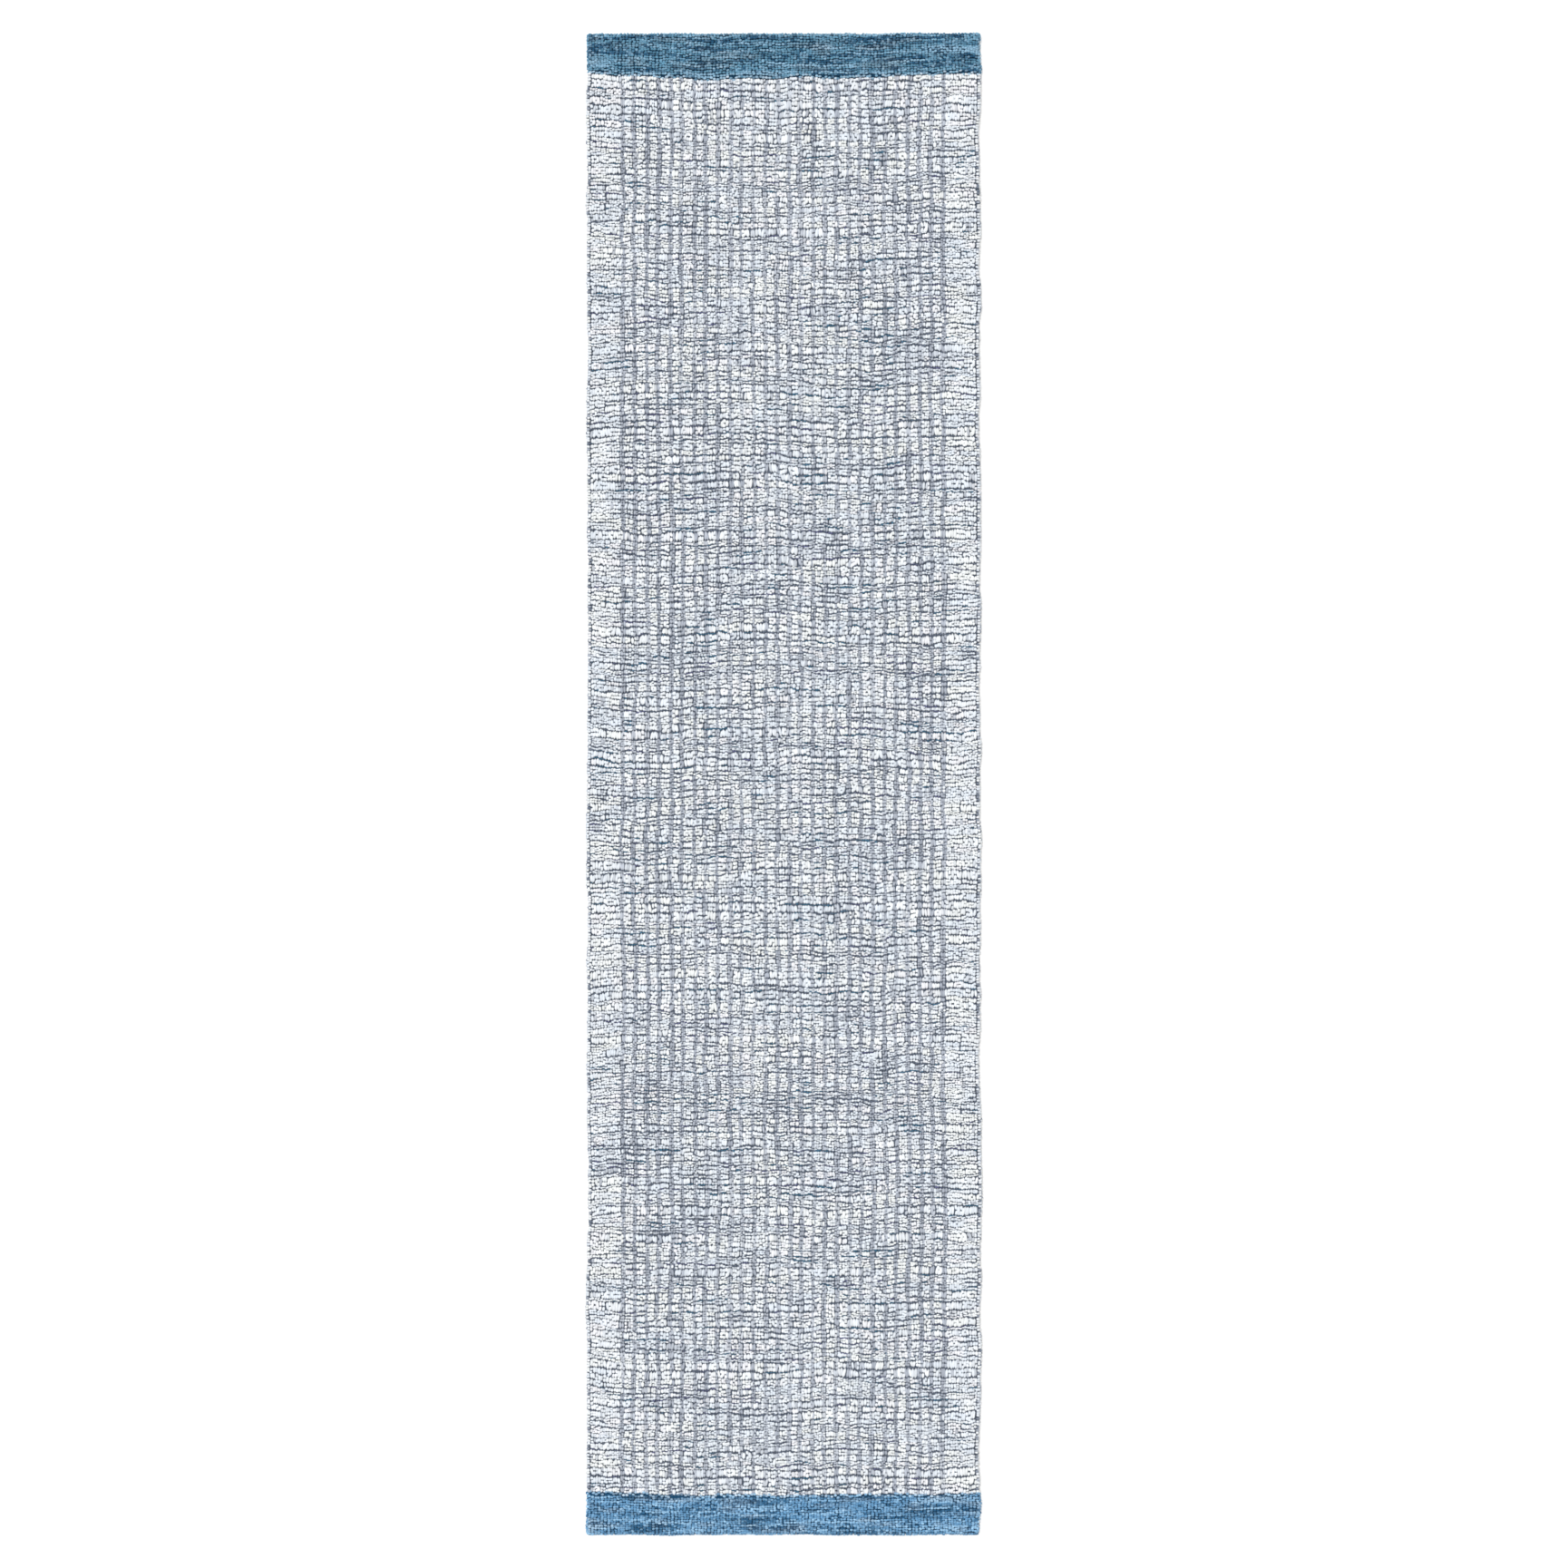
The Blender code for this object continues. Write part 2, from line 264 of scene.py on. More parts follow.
def stretched(x, y, pile):
    """Where a place on the cloth ends up once the rug has been washed and stretched square."""
    seed = pile.seed * 100
    side = pile.side_wander * (
        0.8 * drift(x, y, 0.50, 0.20, seed + 1)
        + 0.9 * drift(x, y, 0.040, 0.055, seed + 2)
        + 0.45 * drift(x, y, 0.025, 0.022, seed + 6)
    )
    near_end = 1 - off_the_end(y)
    return x + side, y + 0.0012 * near_end * drift(x, y, 0.060, 0.20, seed + 5)


def wandered(x, y, pile):
    """Where a loop that was meant for x, y ends up: its row sways, and the cloth carries it along."""
    seed = pile.seed * 100
    sway = drift(x, y, 0.17, 0.30, seed + 3) + 0.35 * drift(x, y, 0.045, 0.20, seed + 4)
    # The far band comes down a little left of the middle and goes up at its left end.
    reach = hump(FIELD_END - y, 0.16)
    bow = 0.0034 * hump(x + HALF_WIDTH, 0.10) - 0.0052 * hump(x + 0.09, 0.13)
    end = np.sign(y)
    waver = 0.0024 * drift(x, end, 0.055, 1.0, seed + 8) + 0.0012 * drift(x, end, 0.018, 1.0, seed + 9)
    seam = hump(np.abs(y) - FIELD_END, 0.015)
    px, py = stretched(x, y, pile)
    return px, py + off_the_end(y) * (pile.row_sway * sway + reach * bow) + seam * waver


def stretched_points(points, pile):
    px, py = stretched(points[:, 0], points[:, 1], pile)
    return np.stack([px, py, points[:, 2]], 1)


# ---------------------------------------------------------------------------------------------------
# Loops


class LoopShape:
    """One closed tuft of yarn: rings of points from its base up to a tip, on a unit footprint."""

    def __init__(self, sides, rings, squareness):
        angles = 2 * np.pi * (np.arange(sides) + 0.5) / sides
        cosine, sine = np.cos(angles), np.sin(angles)
        reach = (np.abs(cosine) ** squareness + np.abs(sine) ** squareness) ** (-1 / squareness)
        points = []
        flat = []
        for step, (radius, height) in enumerate(rings):
            across, along = radius * reach * cosine, radius * reach * sine
            points.append(np.stack([across, along, np.full(sides, height)], 1))
            spread = 0.46 * (1 - step / len(rings))
            flat.append(np.stack([0.5 + spread * cosine, 0.5 + spread * sine], 1))
        points.append([[0.0, 0.0, 1.0]])
        flat.append([[0.5, 0.5]])
        self.points = np.concatenate(points)
        self.flat = np.concatenate(flat)
        faces = []
        for ring in range(len(rings) - 1):
            for side in range(sides):
                a = ring * sides + side
                b = ring * sides + (side + 1) % sides
                faces += [(a, b, b + sides), (a, b + sides, a + sides)]
        tip = len(rings) * sides
        last = tip - sides
        for side in range(sides):
            faces.append((last + side, last + (side + 1) % sides, tip))
        self.shown = len(faces)
        for side in range(1, sides - 1):
            faces.append((0, side + 1, side))
        self.faces = np.array(faces)


FULL_LOOP = LoopShape(6, [(0.80, 0.0), (1.0, 0.52), (0.78, 0.86)], 2.5)
SMALL_LOOP = LoopShape(6, [(0.85, 0.0), (0.95, 0.60)], 2.2)


class Tufts:
    """Places, sizes, leanings and yarn colours of many loops, gathered before their mesh is made."""

    def __init__(self):
        self.batches = []

    def add(self, shape, x, y, base, width, length, height, colour, turn=0.0, outward=None, tilt=0.0):
        """outward is a direction in plan that the loops lean towards, by tilt: 0 is upright and 1 flat."""
        count = np.size(x)
        if count == 0:
            return

        def full(value):
            return np.broadcast_to(np.ravel(value).astype(float), (count,)).copy()

        if outward is None:
            outward = np.zeros((count, 2))
        self.batches.append(
            {
                "shape": shape,
                "place": np.stack([full(x), full(y), full(base)], 1),
                "size": np.stack([full(width) / 2, full(length) / 2, full(height)], 1),
                "colour": np.broadcast_to(np.reshape(colour, (-1, 3)).astype(float), (count, 3)).copy(),
                "turn": full(turn),
                "lean": np.reshape(outward, (-1, 2)).astype(float) * full(tilt)[:, None],
            }
        )

    def meshed(self, seed):
        """(points, faces, colours, atlas places of the face corners)"""
        rng = np.random.default_rng(seed)
        total = sum(len(batch["place"]) for batch in self.batches)
        cells = math.ceil(math.sqrt(total))
        points, faces, colours, atlas = [], [], [], []
        start, first = 0, 0
        for batch in self.batches:
            shape, place = batch["shape"], batch["place"]
            count = len(place)
            lean = batch["lean"]
            rise = np.sqrt(np.clip(1 - (lean**2).sum(1), 0.05, 1))
            up = np.concatenate([lean, rise[:, None]], 1)
            up /= np.linalg.norm(up, axis=1)[:, None]
            cosine, sine = np.cos(batch["turn"]), np.sin(batch["turn"])
            across = np.stack([cosine, sine, np.zeros(count)], 1)
            across -= up * (across * up).sum(1)[:, None]
            across /= np.linalg.norm(across, axis=1)[:, None]
            along = np.cross(up, across)
            unit = shape.points[None] * (1 + rng.uniform(-0.07, 0.07, (count, len(shape.points), 3)))
            unit = unit * batch["size"][:, None, :]
            where = (
                place[:, None, :]
                + unit[..., 0:1] * across[:, None]
                + unit[..., 1:2] * along[:, None]
                + unit[..., 2:3] * up[:, None]
            )
            points.append(where.reshape(-1, 3))
            size = len(shape.points)
            offsets = start + size * np.arange(count)
            faces.append((shape.faces[None] + offsets[:, None, None]).reshape(-1, 3))
            tone = 1 + rng.uniform(-0.05, 0.05, (count, size, 1))
            colours.append((batch["colour"][:, None, :] * tone).reshape(-1, 3))
            number = first + np.arange(count)
            corner = np.stack([number % cells, number // cells], 1)
            flat = shape.flat[shape.faces]
            flat[shape.shown :] = 0.015 + flat[shape.shown :] * 0.05
            atlas.append(((corner[:, None, None, :] + flat[None]) / cells).reshape(-1, 2))
            start += count * size
            first += count
        return (
            np.concatenate(points),
            np.concatenate(faces),
            np.clip(np.concatenate(colours), 0.0, 1.0),
            np.concatenate(atlas),
        )


def mesh_piece(name, points, faces, material, node_names, colours=None, atlas=None):
    """A piece that rides on the rug and stands for the named frame nodes."""
    a, b, c = (np.asarray(points)[faces[:, corner]] for corner in range(3))
    if np.einsum("ij,ij->", a, np.cross(b, c)) <= 0:
        raise RuntimeError(f"{name} is inside out")
    mesh = bpy.data.meshes.new(name)
    mesh.vertices.add(len(points))
    mesh.vertices.foreach_set("co", np.ascontiguousarray(points, np.float32).ravel())
    mesh.loops.add(len(faces) * 3)
    mesh.loops.foreach_set("vertex_index", np.ascontiguousarray(faces, np.int32).ravel())
    mesh.polygons.add(len(faces))
    mesh.polygons.foreach_set("loop_start", np.arange(0, len(faces) * 3, 3, dtype=np.int32))
    if atlas is not None:
        layer = mesh.uv_layers.new(name="OFBake", do_init=False)
        layer.uv.foreach_set("vector", np.ascontiguousarray(atlas, np.float32).ravel())
    if colours is not None:
        # Per-point colours: yarn dye, and painted shade on the root beds and lower edge rows.
        layer = mesh.color_attributes.new("yarn", "FLOAT_COLOR", "POINT")
        filled = np.concatenate([colours, np.ones((len(colours), 1))], 1)
        layer.data.foreach_set("color", np.ascontiguousarray(filled, np.float32).ravel())
    mesh.update(calc_edges=True)
    mesh.validate()
    mesh.shade_smooth()
    if colours is None:
        mesh.set_sharp_from_angle(angle=math.radians(35))
    mesh.materials.append(material)
    piece = bpy.data.objects.new(name, mesh)
    bpy.context.scene.collection.objects.link(piece)
    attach(piece, BODY)
    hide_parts(*node_names)
    return piece


def tuft_piece(name, tufts, material, node_names, seed):
    points, faces, colours, atlas = tufts.meshed(seed)
    piece = mesh_piece(name, points, faces, material, node_names, colours, atlas)
    piece["is_pile"] = True
    return piece


# ---------------------------------------------------------------------------------------------------
# The plan of the field: columns of loops across the width, rows along the length


def rug_settings(context):
    scene = context.scene
    return scene.rug_pile, scene.rug_yarn


def stripe_middles():
    return np.array([(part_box(name)[0][0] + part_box(name)[1][0]) / 2 for name in STRIPE_NODES])


def strip_edges(pile):
    """X of every border between slate stripes and ivory strips, with the unevenness of handwork."""
    rng = np.random.default_rng(pile.seed * 100 + 10)
    middles = stripe_middles() + rng.uniform(-0.0012, 0.0012, len(STRIPE_NODES))
    low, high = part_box(STRIPE_NODES[0])
    widths = (high[0] - low[0]) / 2 * rng.uniform(0.88, 1.08, len(STRIPE_NODES))
    return np.stack([middles - widths, middles + widths], 1)


def columns_between(low, high, count):
    """Middles and width of so many columns of loops between two X values."""
    width = (high - low) / count
    return low + width * (np.arange(count) + 0.5), width


def row_lines(pile):
    """Y of the lines between rows along the field, unevenly spaced."""
    rng = np.random.default_rng(pile.seed * 100 + 11)
    count = round(2 * FIELD_END / pile.row_pitch)
    steps = rng.choice([0.66, 0.95, 1.35], count, p=[0.42, 0.36, 0.22]) * rng.uniform(0.86, 1.14, count)
    lines = np.concatenate([[0.0], np.cumsum(steps)])
    return -FIELD_END + 2 * FIELD_END * lines / lines[-1]


def ground_dye(x, row, y, pile, yarn):
    """Ivory of the ground, which turns creamy, cool or rosy over short runs, and cool where the dark
    yarn is dense."""
    seed = pile.seed * 100 + 20
    run = 0.75 * row_drift(x, row, 0.034, seed) + 0.75 * drift(x, y, 0.055, 0.020, seed + 1)
    blush = 0.8 * row_drift(x, row, 0.026, seed + 4) + 0.6 * drift(x, y, 0.045, 0.018, seed + 5)
    dense = dark_share(x, y, pile)
    warmth = ramp(run - 0.5 * dense, -0.05, 0.65)
    coolness = np.maximum(ramp(-run, 0.1, 0.8), 0.85 * dense)
    colour = blend(np.array(yarn.ivory), np.array(yarn.warm_ivory), warmth)
    colour = blend(colour, np.array(yarn.cool_ivory), coolness)
    return blend(colour, np.array(yarn.rosy_ivory), ramp(blush, 0.35, 0.85))


def dark_share(x, y, pile):
    """How dense the dark yarn is at each place, from 0 to 1."""
    seed = pile.seed * 100 + 26
    patch = drift(x, y, 0.060, 0.024, seed) + 0.7 * drift(x, y, 0.022, 0.012, seed + 1)
    return ramp(patch, -0.2, 1.0)


def accent_strength(x, row, pile):
    """How strongly the accent row on a line shows at each place, from 0, missing, to 1, full."""
    seed = pile.seed * 100 + 30
    runs = 0.8 * row_drift(x, row, 0.050, seed) + 0.8 * row_drift(x, row, 0.010, seed + 1)
    levels = np.random.default_rng(seed + 2).uniform(-0.35, 0.35, 2000)
    return ramp(0.38 + runs + levels[np.asarray(row).astype(int) + 500], -0.35, 1.15)


def loop_colours(x, y, ground, dense, stripe, yarn, rng):
    """Dye of each loop of the field. stripe is the seed of a slate stripe, or None in an ivory strip."""
    slate = np.array(yarn.slate)
    if stripe is None:
        colour = ground
        speck = rng.random(x.shape) < 0.03 + 0.22 * dense**2
    else:
        fade = drift(x * 0, y, 1.0, 0.045, stripe) + 0.6 * drift(x * 0, y, 1.0, 0.014, stripe + 1)
        centre = 1 - ramp(np.abs(x), 0.04, 0.22)
        strength = np.clip(1.02 - 0.12 * centre + 0.40 * fade, 0.15, 1.40)
        colour = blend(ground, slate, np.minimum(strength, 1.0))
        colour = blend(colour, np.array(yarn.dark_slate), np.clip(strength - 0.95, 0, 1) * 0.8)
        swap = rng.random(x.shape) < 0.05 + 0.06 * centre
        colour[swap] = ground[swap]
        speck = rng.random(x.shape) < 0.05 + 0.10 * dense
    shade = rng.uniform(0.25, 0.85, x.shape)
    colour = np.where(speck[..., None], blend(colour, slate * 0.85, shade), colour)
    return colour * rng.uniform(0.87, 1.06, x.shape)[..., None]


def field_columns(tufts, xs, width, pile, yarn, kind):
    """Loops and accent rows of neighbouring columns, all along the field. kind is ground or stripe."""
    seed = pile.seed * 1000 + int((xs[0] + 1) * 100000) % 90001
    rng = np.random.default_rng(seed)
    lines = row_lines(pile)
    rows = np.arange(len(lines) - 1)
    x, row = np.meshgrid(xs, rows, indexing="ij")
    brick = 0.30 * width if kind == "ground" else 0.10 * width
    x = x + rng.uniform(-brick, brick, rows.size)[None, :] + rng.uniform(-0.0005, 0.0005, x.shape)
    dense = dark_share(x, lines[row], pile)

    def line_place(number):
        wobble = 1.1 * row_drift(x, number, 0.045, pile.seed * 100 + 40)
        wobble = wobble + 0.75 * row_drift(x, number, 0.015, pile.seed * 100 + 41)
        wobble = wobble + 0.50 * row_drift(x, number, 0.0048, pile.seed * 100 + 42)
        inside = (number > 0) & (number < len(lines) - 1)
        cell = shift[number] + arch[number] * (1 - 4 * place[:, None] ** 2)
        return lines[number] + (pile.row_wobble * wobble + cell) * inside

    # Each cell of a strip sits a little off its neighbours' rows, and its line arches.
    place = (xs - xs.mean()) / (np.ptp(xs) + width)
    shift = rng.normal(0, 0.0007, len(lines))
    arch = rng.uniform(-0.0004, 0.0010, len(lines))

    def accent_at(number):
        faint = (0.55 if kind == "stripe" else 1.0) * (1 - 0.34 * ramp(np.abs(x), 0.26, 0.30))
        return np.clip(accent_strength(x, number, pile) * (0.78 + 0.5 * dense), 0, 1.25) * faint

    low_accent, high_accent = accent_at(row), accent_at(row + 1)
    drop = pile.stripe_drop if kind == "stripe" else 0.0
    low = line_place(row) + low_accent * pile.accent_width / 2
    high = line_place(row + 1) - high_accent * pile.accent_width / 2
    middle = (low + high) / 2 + rng.uniform(-0.0004, 0.0004, x.shape)
    length = np.maximum(high - low + 0.0003, 0.0026)

    ground = ground_dye(x, row, lines[row], pile, yarn)
    stripe = pile.seed * 100 + 50 + int(xs[0] * 1000) if kind == "stripe" else None
    colour = loop_colours(x, lines[row], ground, dense, stripe, yarn, rng)
    height = pile.loop_depth * rng.uniform(0.84, 1.12, x.shape)
    base = PILE_TOP - pile.loop_depth - drop + 0 * x
    broad = width * rng.uniform(1.16, 1.45, x.shape)
    turn = rng.uniform(-0.24, 0.24, x.shape)
    split = (rng.random(x.shape) < 0.45) & (length > 0.0052)
    px, py = wandered(x, middle, pile)
    heading = rng.uniform(0, 2 * np.pi, x.shape)
    outward = np.stack([np.cos(heading), np.sin(heading)], -1)
    tilt = rng.uniform(0.0, 0.34, x.shape)

    def pick(mask, shift=0.0, part=1.0):
        tufts.add(
            FULL_LOOP,
            px[mask],
            py[mask] + shift * length[mask],
            base[mask],
            broad[mask],
            part * length[mask],
            height[mask] * (1 - 0.3 * abs(shift)),
            colour[mask],
            turn[mask] + shift,
            outward[mask] * (1 if shift < 0 else -1),
            tilt[mask],
        )

    pick(~split)
    pick(split, -0.26, 0.54)
    pick(split, 0.26, 0.54)

    # No accent lies on the first line, where the band begins.
    spots = (values[:, 1:] for values in (x, row, line_place(row), low_accent))
    lay_accents(tufts, *spots, width, drop, pile, yarn, rng)


def lay_accents(tufts, x, row, y, strength, width, drop, pile, yarn, rng):
    """Thin dark yarn along the lines between rows, tinted navy or plum over short runs."""
    seed = pile.seed * 100 + 60
    step = 0.003
    wobble = pile.seed * 100 + 41
    slope = row_drift(x + step, row, 0.015, wobble) - row_drift(x - step, row, 0.015, wobble)
    turn = np.arctan(slope * 0.75 * pile.row_wobble / (2 * step)) + rng.uniform(-0.45, 0.45, x.shape)
    px, py = wandered(x, y + rng.uniform(-0.0007, 0.0007, x.shape), pile)
    hue = 0.9 * row_drift(x, row, 0.040, seed) + 0.5 * drift(x, y, 0.09, 0.03, seed + 1)
    slate, dark = np.array(yarn.slate), np.array(yarn.dark_slate)
    accent = blend(dark, np.array(yarn.teal), ramp(hue + 0.4 * dark_share(x, y, pile), 0.45, 0.75))
    accent = blend(accent, np.array(yarn.plum), ramp(-hue, 0.50, 0.80))
    accent = blend(slate * 0.70, accent, ramp(strength, 0.08, 0.55))
    accent = accent * rng.uniform(0.80, 1.20, x.shape)[..., None]
    thick = 0.0011 + pile.accent_width * strength * rng.uniform(0.55, 1.35, x.shape)
    tall = pile.loop_depth * (0.60 + 0.25 * np.minimum(strength, 1)) * rng.uniform(0.90, 1.08, x.shape)
    keep = (strength > 0.08) & (rng.random(x.shape) < 0.93)
    base = PILE_TOP - pile.loop_depth - drop
    size = (width * 1.12, thick[keep], tall[keep])
    tufts.add(SMALL_LOOP, px[keep], py[keep], base, *size, accent[keep], turn[keep])


# ---------------------------------------------------------------------------------------------------
# Shader groups and materials


def group_socket(tree, direction, kind, name, default=None):
    socket = tree.interface.new_socket(name, in_out=direction, socket_type=kind)
    if default is not None:
        socket.default_value = default
    return socket


def new_group(name, inputs, outputs):
    """An empty shader group and its ends. inputs are (kind, name, default) and outputs (kind, name)."""
    tree = bpy.data.node_groups.new(name, "ShaderNodeTree")
    for kind, label, default in inputs:
        group_socket(tree, "INPUT", kind, label, default)
    for kind, label in outputs:
        group_socket(tree, "OUTPUT", kind, label)
    return tree, tree.nodes.new("NodeGroupInput"), tree.nodes.new("NodeGroupOutput")


def math_node(tree, operation, first, second=None):
    node = tree.nodes.new("ShaderNodeMath")
    node.operation = operation
    for index, value in enumerate((first, second)):
        if value is None:
            continue
        if isinstance(value, (int, float)):
            node.inputs[index].default_value = value
        else:
            tree.links.new(value, node.inputs[index])
    return node.outputs[0]


def line_node(tree, value, slope, level):
    """value * slope + level"""
    return math_node(tree, "ADD", math_node(tree, "MULTIPLY", value, slope), level)


def noise_node(tree, where, scale, detail=2.0):
    node = tree.nodes.new("ShaderNodeTexNoise")
    tree.links.new(where, node.inputs["Vector"])
    if isinstance(scale, (int, float)):
        node.inputs["Scale"].default_value = scale
    else:
        tree.links.new(scale, node.inputs["Scale"])
    node.inputs["Detail"].default_value = detail
    return node.outputs["Fac"]


def scaled_colour(tree, colour, factor):
    node = tree.nodes.new("ShaderNodeVectorMath")
    node.operation = "SCALE"
    tree.links.new(colour, node.inputs[0])
    tree.links.new(factor, node.inputs["Scale"])
    return node.outputs["Vector"]


def make_heather_group():
    """Heathered yarn: fibres lighter and darker than the dye, and plies twisted round each other."""
    tree, start, end = new_group(
        "Heathered Yarn",
        [
            ("NodeSocketColor", "Dye", (0.8, 0.8, 0.8, 1.0)),
            ("NodeSocketFloat", "Fleck", 0.25),
            ("NodeSocketFloat", "Fleck Scale", 900.0),
            ("NodeSocketFloat", "Ply Scale", 520.0),
        ],
        [("NodeSocketColor", "Colour"), ("NodeSocketFloat", "Height")],
    )
    where = tree.nodes.new("ShaderNodeTexCoord").outputs["Object"]
    fleck = noise_node(tree, where, start.outputs["Fleck Scale"], 3.0)
    centred = math_node(tree, "SUBTRACT", fleck, 0.5)
    factor = line_node(tree, centred, start.outputs["Fleck"], 1.0)
    tree.links.new(scaled_colour(tree, start.outputs["Dye"], factor), end.inputs["Colour"])
    ply = tree.nodes.new("ShaderNodeTexWave")
    ply.bands_direction = "DIAGONAL"
    tree.links.new(where, ply.inputs["Vector"])
    tree.links.new(start.outputs["Ply Scale"], ply.inputs["Scale"])
    ply.inputs["Distortion"].default_value = 3.0
    ply.inputs["Detail"].default_value = 1.0
    height = math_node(tree, "ADD", ply.outputs["Fac"], math_node(tree, "MULTIPLY", fleck, 0.7))
    tree.links.new(height, end.inputs["Height"])
    return tree


def make_weave_group():
    """Plain weave: threads over and under in two directions, with slubs, and painted shade in the dips
    between threads.
    """
    tree, start, end = new_group(
        "Woven Cloth",
        [
            ("NodeSocketColor", "Cotton", (0.7, 0.66, 0.56, 1.0)),
            ("NodeSocketFloat", "Thread Pitch", 0.0011),
            ("NodeSocketFloat", "Slub", 0.18),
        ],
        [
            ("NodeSocketColor", "Colour"),
            ("NodeSocketFloat", "Height"),
            ("NodeSocketFloat", "Roughness"),
        ],
    )
    where = tree.nodes.new("ShaderNodeTexCoord").outputs["Object"]
    split = tree.nodes.new("ShaderNodeSeparateXYZ")
    tree.links.new(where, split.inputs[0])
    turn = math_node(tree, "DIVIDE", math.pi, start.outputs["Thread Pitch"])
    warp = math_node(tree, "SINE", math_node(tree, "MULTIPLY", split.outputs["X"], turn))
    weft = math_node(tree, "SINE", math_node(tree, "MULTIPLY", split.outputs["Y"], turn))
    over = math_node(tree, "MULTIPLY", warp, weft)
    height = math_node(tree, "ABSOLUTE", line_node(tree, over, 0.5, 0.5))
    slub = math_node(tree, "SUBTRACT", noise_node(tree, where, 120.0, 4.0), 0.5)
    blotch = math_node(tree, "SUBTRACT", noise_node(tree, where, 9.0, 3.0), 0.5)
    # Thread tops lighter and the dips between threads darker: painted shade. Slubs and blotches are the
    # cotton's own tone.
    tone = line_node(tree, height, 0.16, 0.90)
    tone = math_node(tree, "ADD", tone, math_node(tree, "MULTIPLY", slub, start.outputs["Slub"]))
    tone = math_node(tree, "ADD", tone, math_node(tree, "MULTIPLY", blotch, 0.20))
    tree.links.new(scaled_colour(tree, start.outputs["Cotton"], tone), end.inputs["Colour"])
    tree.links.new(height, end.inputs["Height"])
    rough = line_node(tree, height, -0.12, 0.92)
    tree.links.new(rough, end.inputs["Roughness"])
    return tree


def shared_group(name, maker):
    return bpy.data.node_groups.get(name) or maker()


def empty_material(name):
    material = bpy.data.materials.new(name)
    material.use_nodes = True
    tree = material.node_tree
    return material, tree, tree.nodes["Principled BSDF"]


def bumped(tree, shader, height, strength, distance):
    bump = tree.nodes.new("ShaderNodeBump")
    bump.inputs["Strength"].default_value = strength
    bump.inputs["Distance"].default_value = distance
    tree.links.new(height, bump.inputs["Height"])
    tree.links.new(bump.outputs["Normal"], shader.inputs["Normal"])


def wool_material(name, fleck, ply_scale):
    """Matte wool, coloured by the mesh's own yarn colours: dye, and on the root beds and lower edge rows
    painted shade.
    """
    found = bpy.data.materials.get(name)
    if found:
        return found
    material, tree, shader = empty_material(name)
    dye = tree.nodes.new("ShaderNodeVertexColor")
    dye.layer_name = "yarn"
    group = tree.nodes.new("ShaderNodeGroup")
    group.node_tree = shared_group("Heathered Yarn", make_heather_group)
    group.inputs["Fleck"].default_value = fleck
    group.inputs["Ply Scale"].default_value = ply_scale
    tree.links.new(dye.outputs["Color"], group.inputs["Dye"])
    tree.links.new(group.outputs["Colour"], shader.inputs["Base Color"])
    bumped(tree, shader, group.outputs["Height"], 0.35, 0.0006)
    shader.inputs["Roughness"].default_value = 0.95
    shader.inputs["Specular IOR Level"].default_value = 0.12
    shader.inputs["Sheen Weight"].default_value = 0.05
    shader.inputs["Sheen Roughness"].default_value = 0.6
    return material


def woven_material(name, cotton, pitch, slub, strength):
    found = bpy.data.materials.get(name)
    if found:
        return found
    material, tree, shader = empty_material(name)
    group = tree.nodes.new("ShaderNodeGroup")
    group.node_tree = shared_group("Woven Cloth", make_weave_group)
    group.inputs["Cotton"].default_value = (*cotton, 1.0)
    group.inputs["Thread Pitch"].default_value = pitch
    group.inputs["Slub"].default_value = slub
    tree.links.new(group.outputs["Colour"], shader.inputs["Base Color"])
    tree.links.new(group.outputs["Roughness"], shader.inputs["Roughness"])
    bumped(tree, shader, group.outputs["Height"], strength, 0.0003)
    shader.inputs["Specular IOR Level"].default_value = 0.2
    return material


def ivory_wool():
    return wool_material("Ivory Wool", 0.30, 520.0)


def slate_wool():
    return wool_material("Slate Wool", 0.40, 520.0)


def blue_wool():
    return wool_material("Blue Wool", 0.55, 640.0)


def latex_material(colour):
    material, tree, shader = empty_material("Dried Latex")
    where = tree.nodes.new("ShaderNodeTexCoord").outputs["Object"]
    grain = noise_node(tree, where, 260.0, 5.0)
    tone = line_node(tree, grain, 0.30, 0.82)
    dye = tree.nodes.new("ShaderNodeRGB")
    dye.outputs[0].default_value = (*colour, 1.0)
    tree.links.new(scaled_colour(tree, dye.outputs[0], tone), shader.inputs["Base Color"])
    rough = line_node(tree, grain, 0.25, 0.45)
    tree.links.new(rough, shader.inputs["Roughness"])
    bumped(tree, shader, grain, 0.5, 0.0004)
    return material


# ---------------------------------------------------------------------------------------------------
# Plan outlines and solids for the sheets


def corner_arc(x, y, radius, start, steps):
    angles = np.radians(start + 90 * np.arange(steps + 1) / steps)
    return np.stack([x + radius * np.cos(angles), y + radius * np.sin(angles)], 1)


def filled_in(points, spacing):
    """The closed outline with points added along it, so that no step is longer than the spacing."""
    made = []
    for here, after in zip(points, np.roll(points, -1, axis=0)):
        steps = max(1, math.ceil(np.linalg.norm(after - here) / spacing))
        made.append(here + (after - here) * np.arange(steps)[:, None] / steps)
    return np.concatenate(made)


def rounded_outline(half_width, half_length, radius, spacing, steps=6):
    x, y = half_width - radius, half_length - radius
    corners = [
        corner_arc(x, -y, radius, -90, steps),
        corner_arc(x, y, radius, 0, steps),
        corner_arc(-x, y, radius, 90, steps),
        corner_arc(-x, -y, radius, 180, steps),
    ]
    return filled_in(np.concatenate(corners), spacing)


def inward(points):
    """Unit directions into an anticlockwise outline, at each of its points."""
    tangent = np.roll(points, -1, axis=0) - np.roll(points, 1, axis=0)
    tangent /= np.linalg.norm(tangent, axis=1)[:, None]
    return np.stack([-tangent[:, 1], tangent[:, 0]], 1)


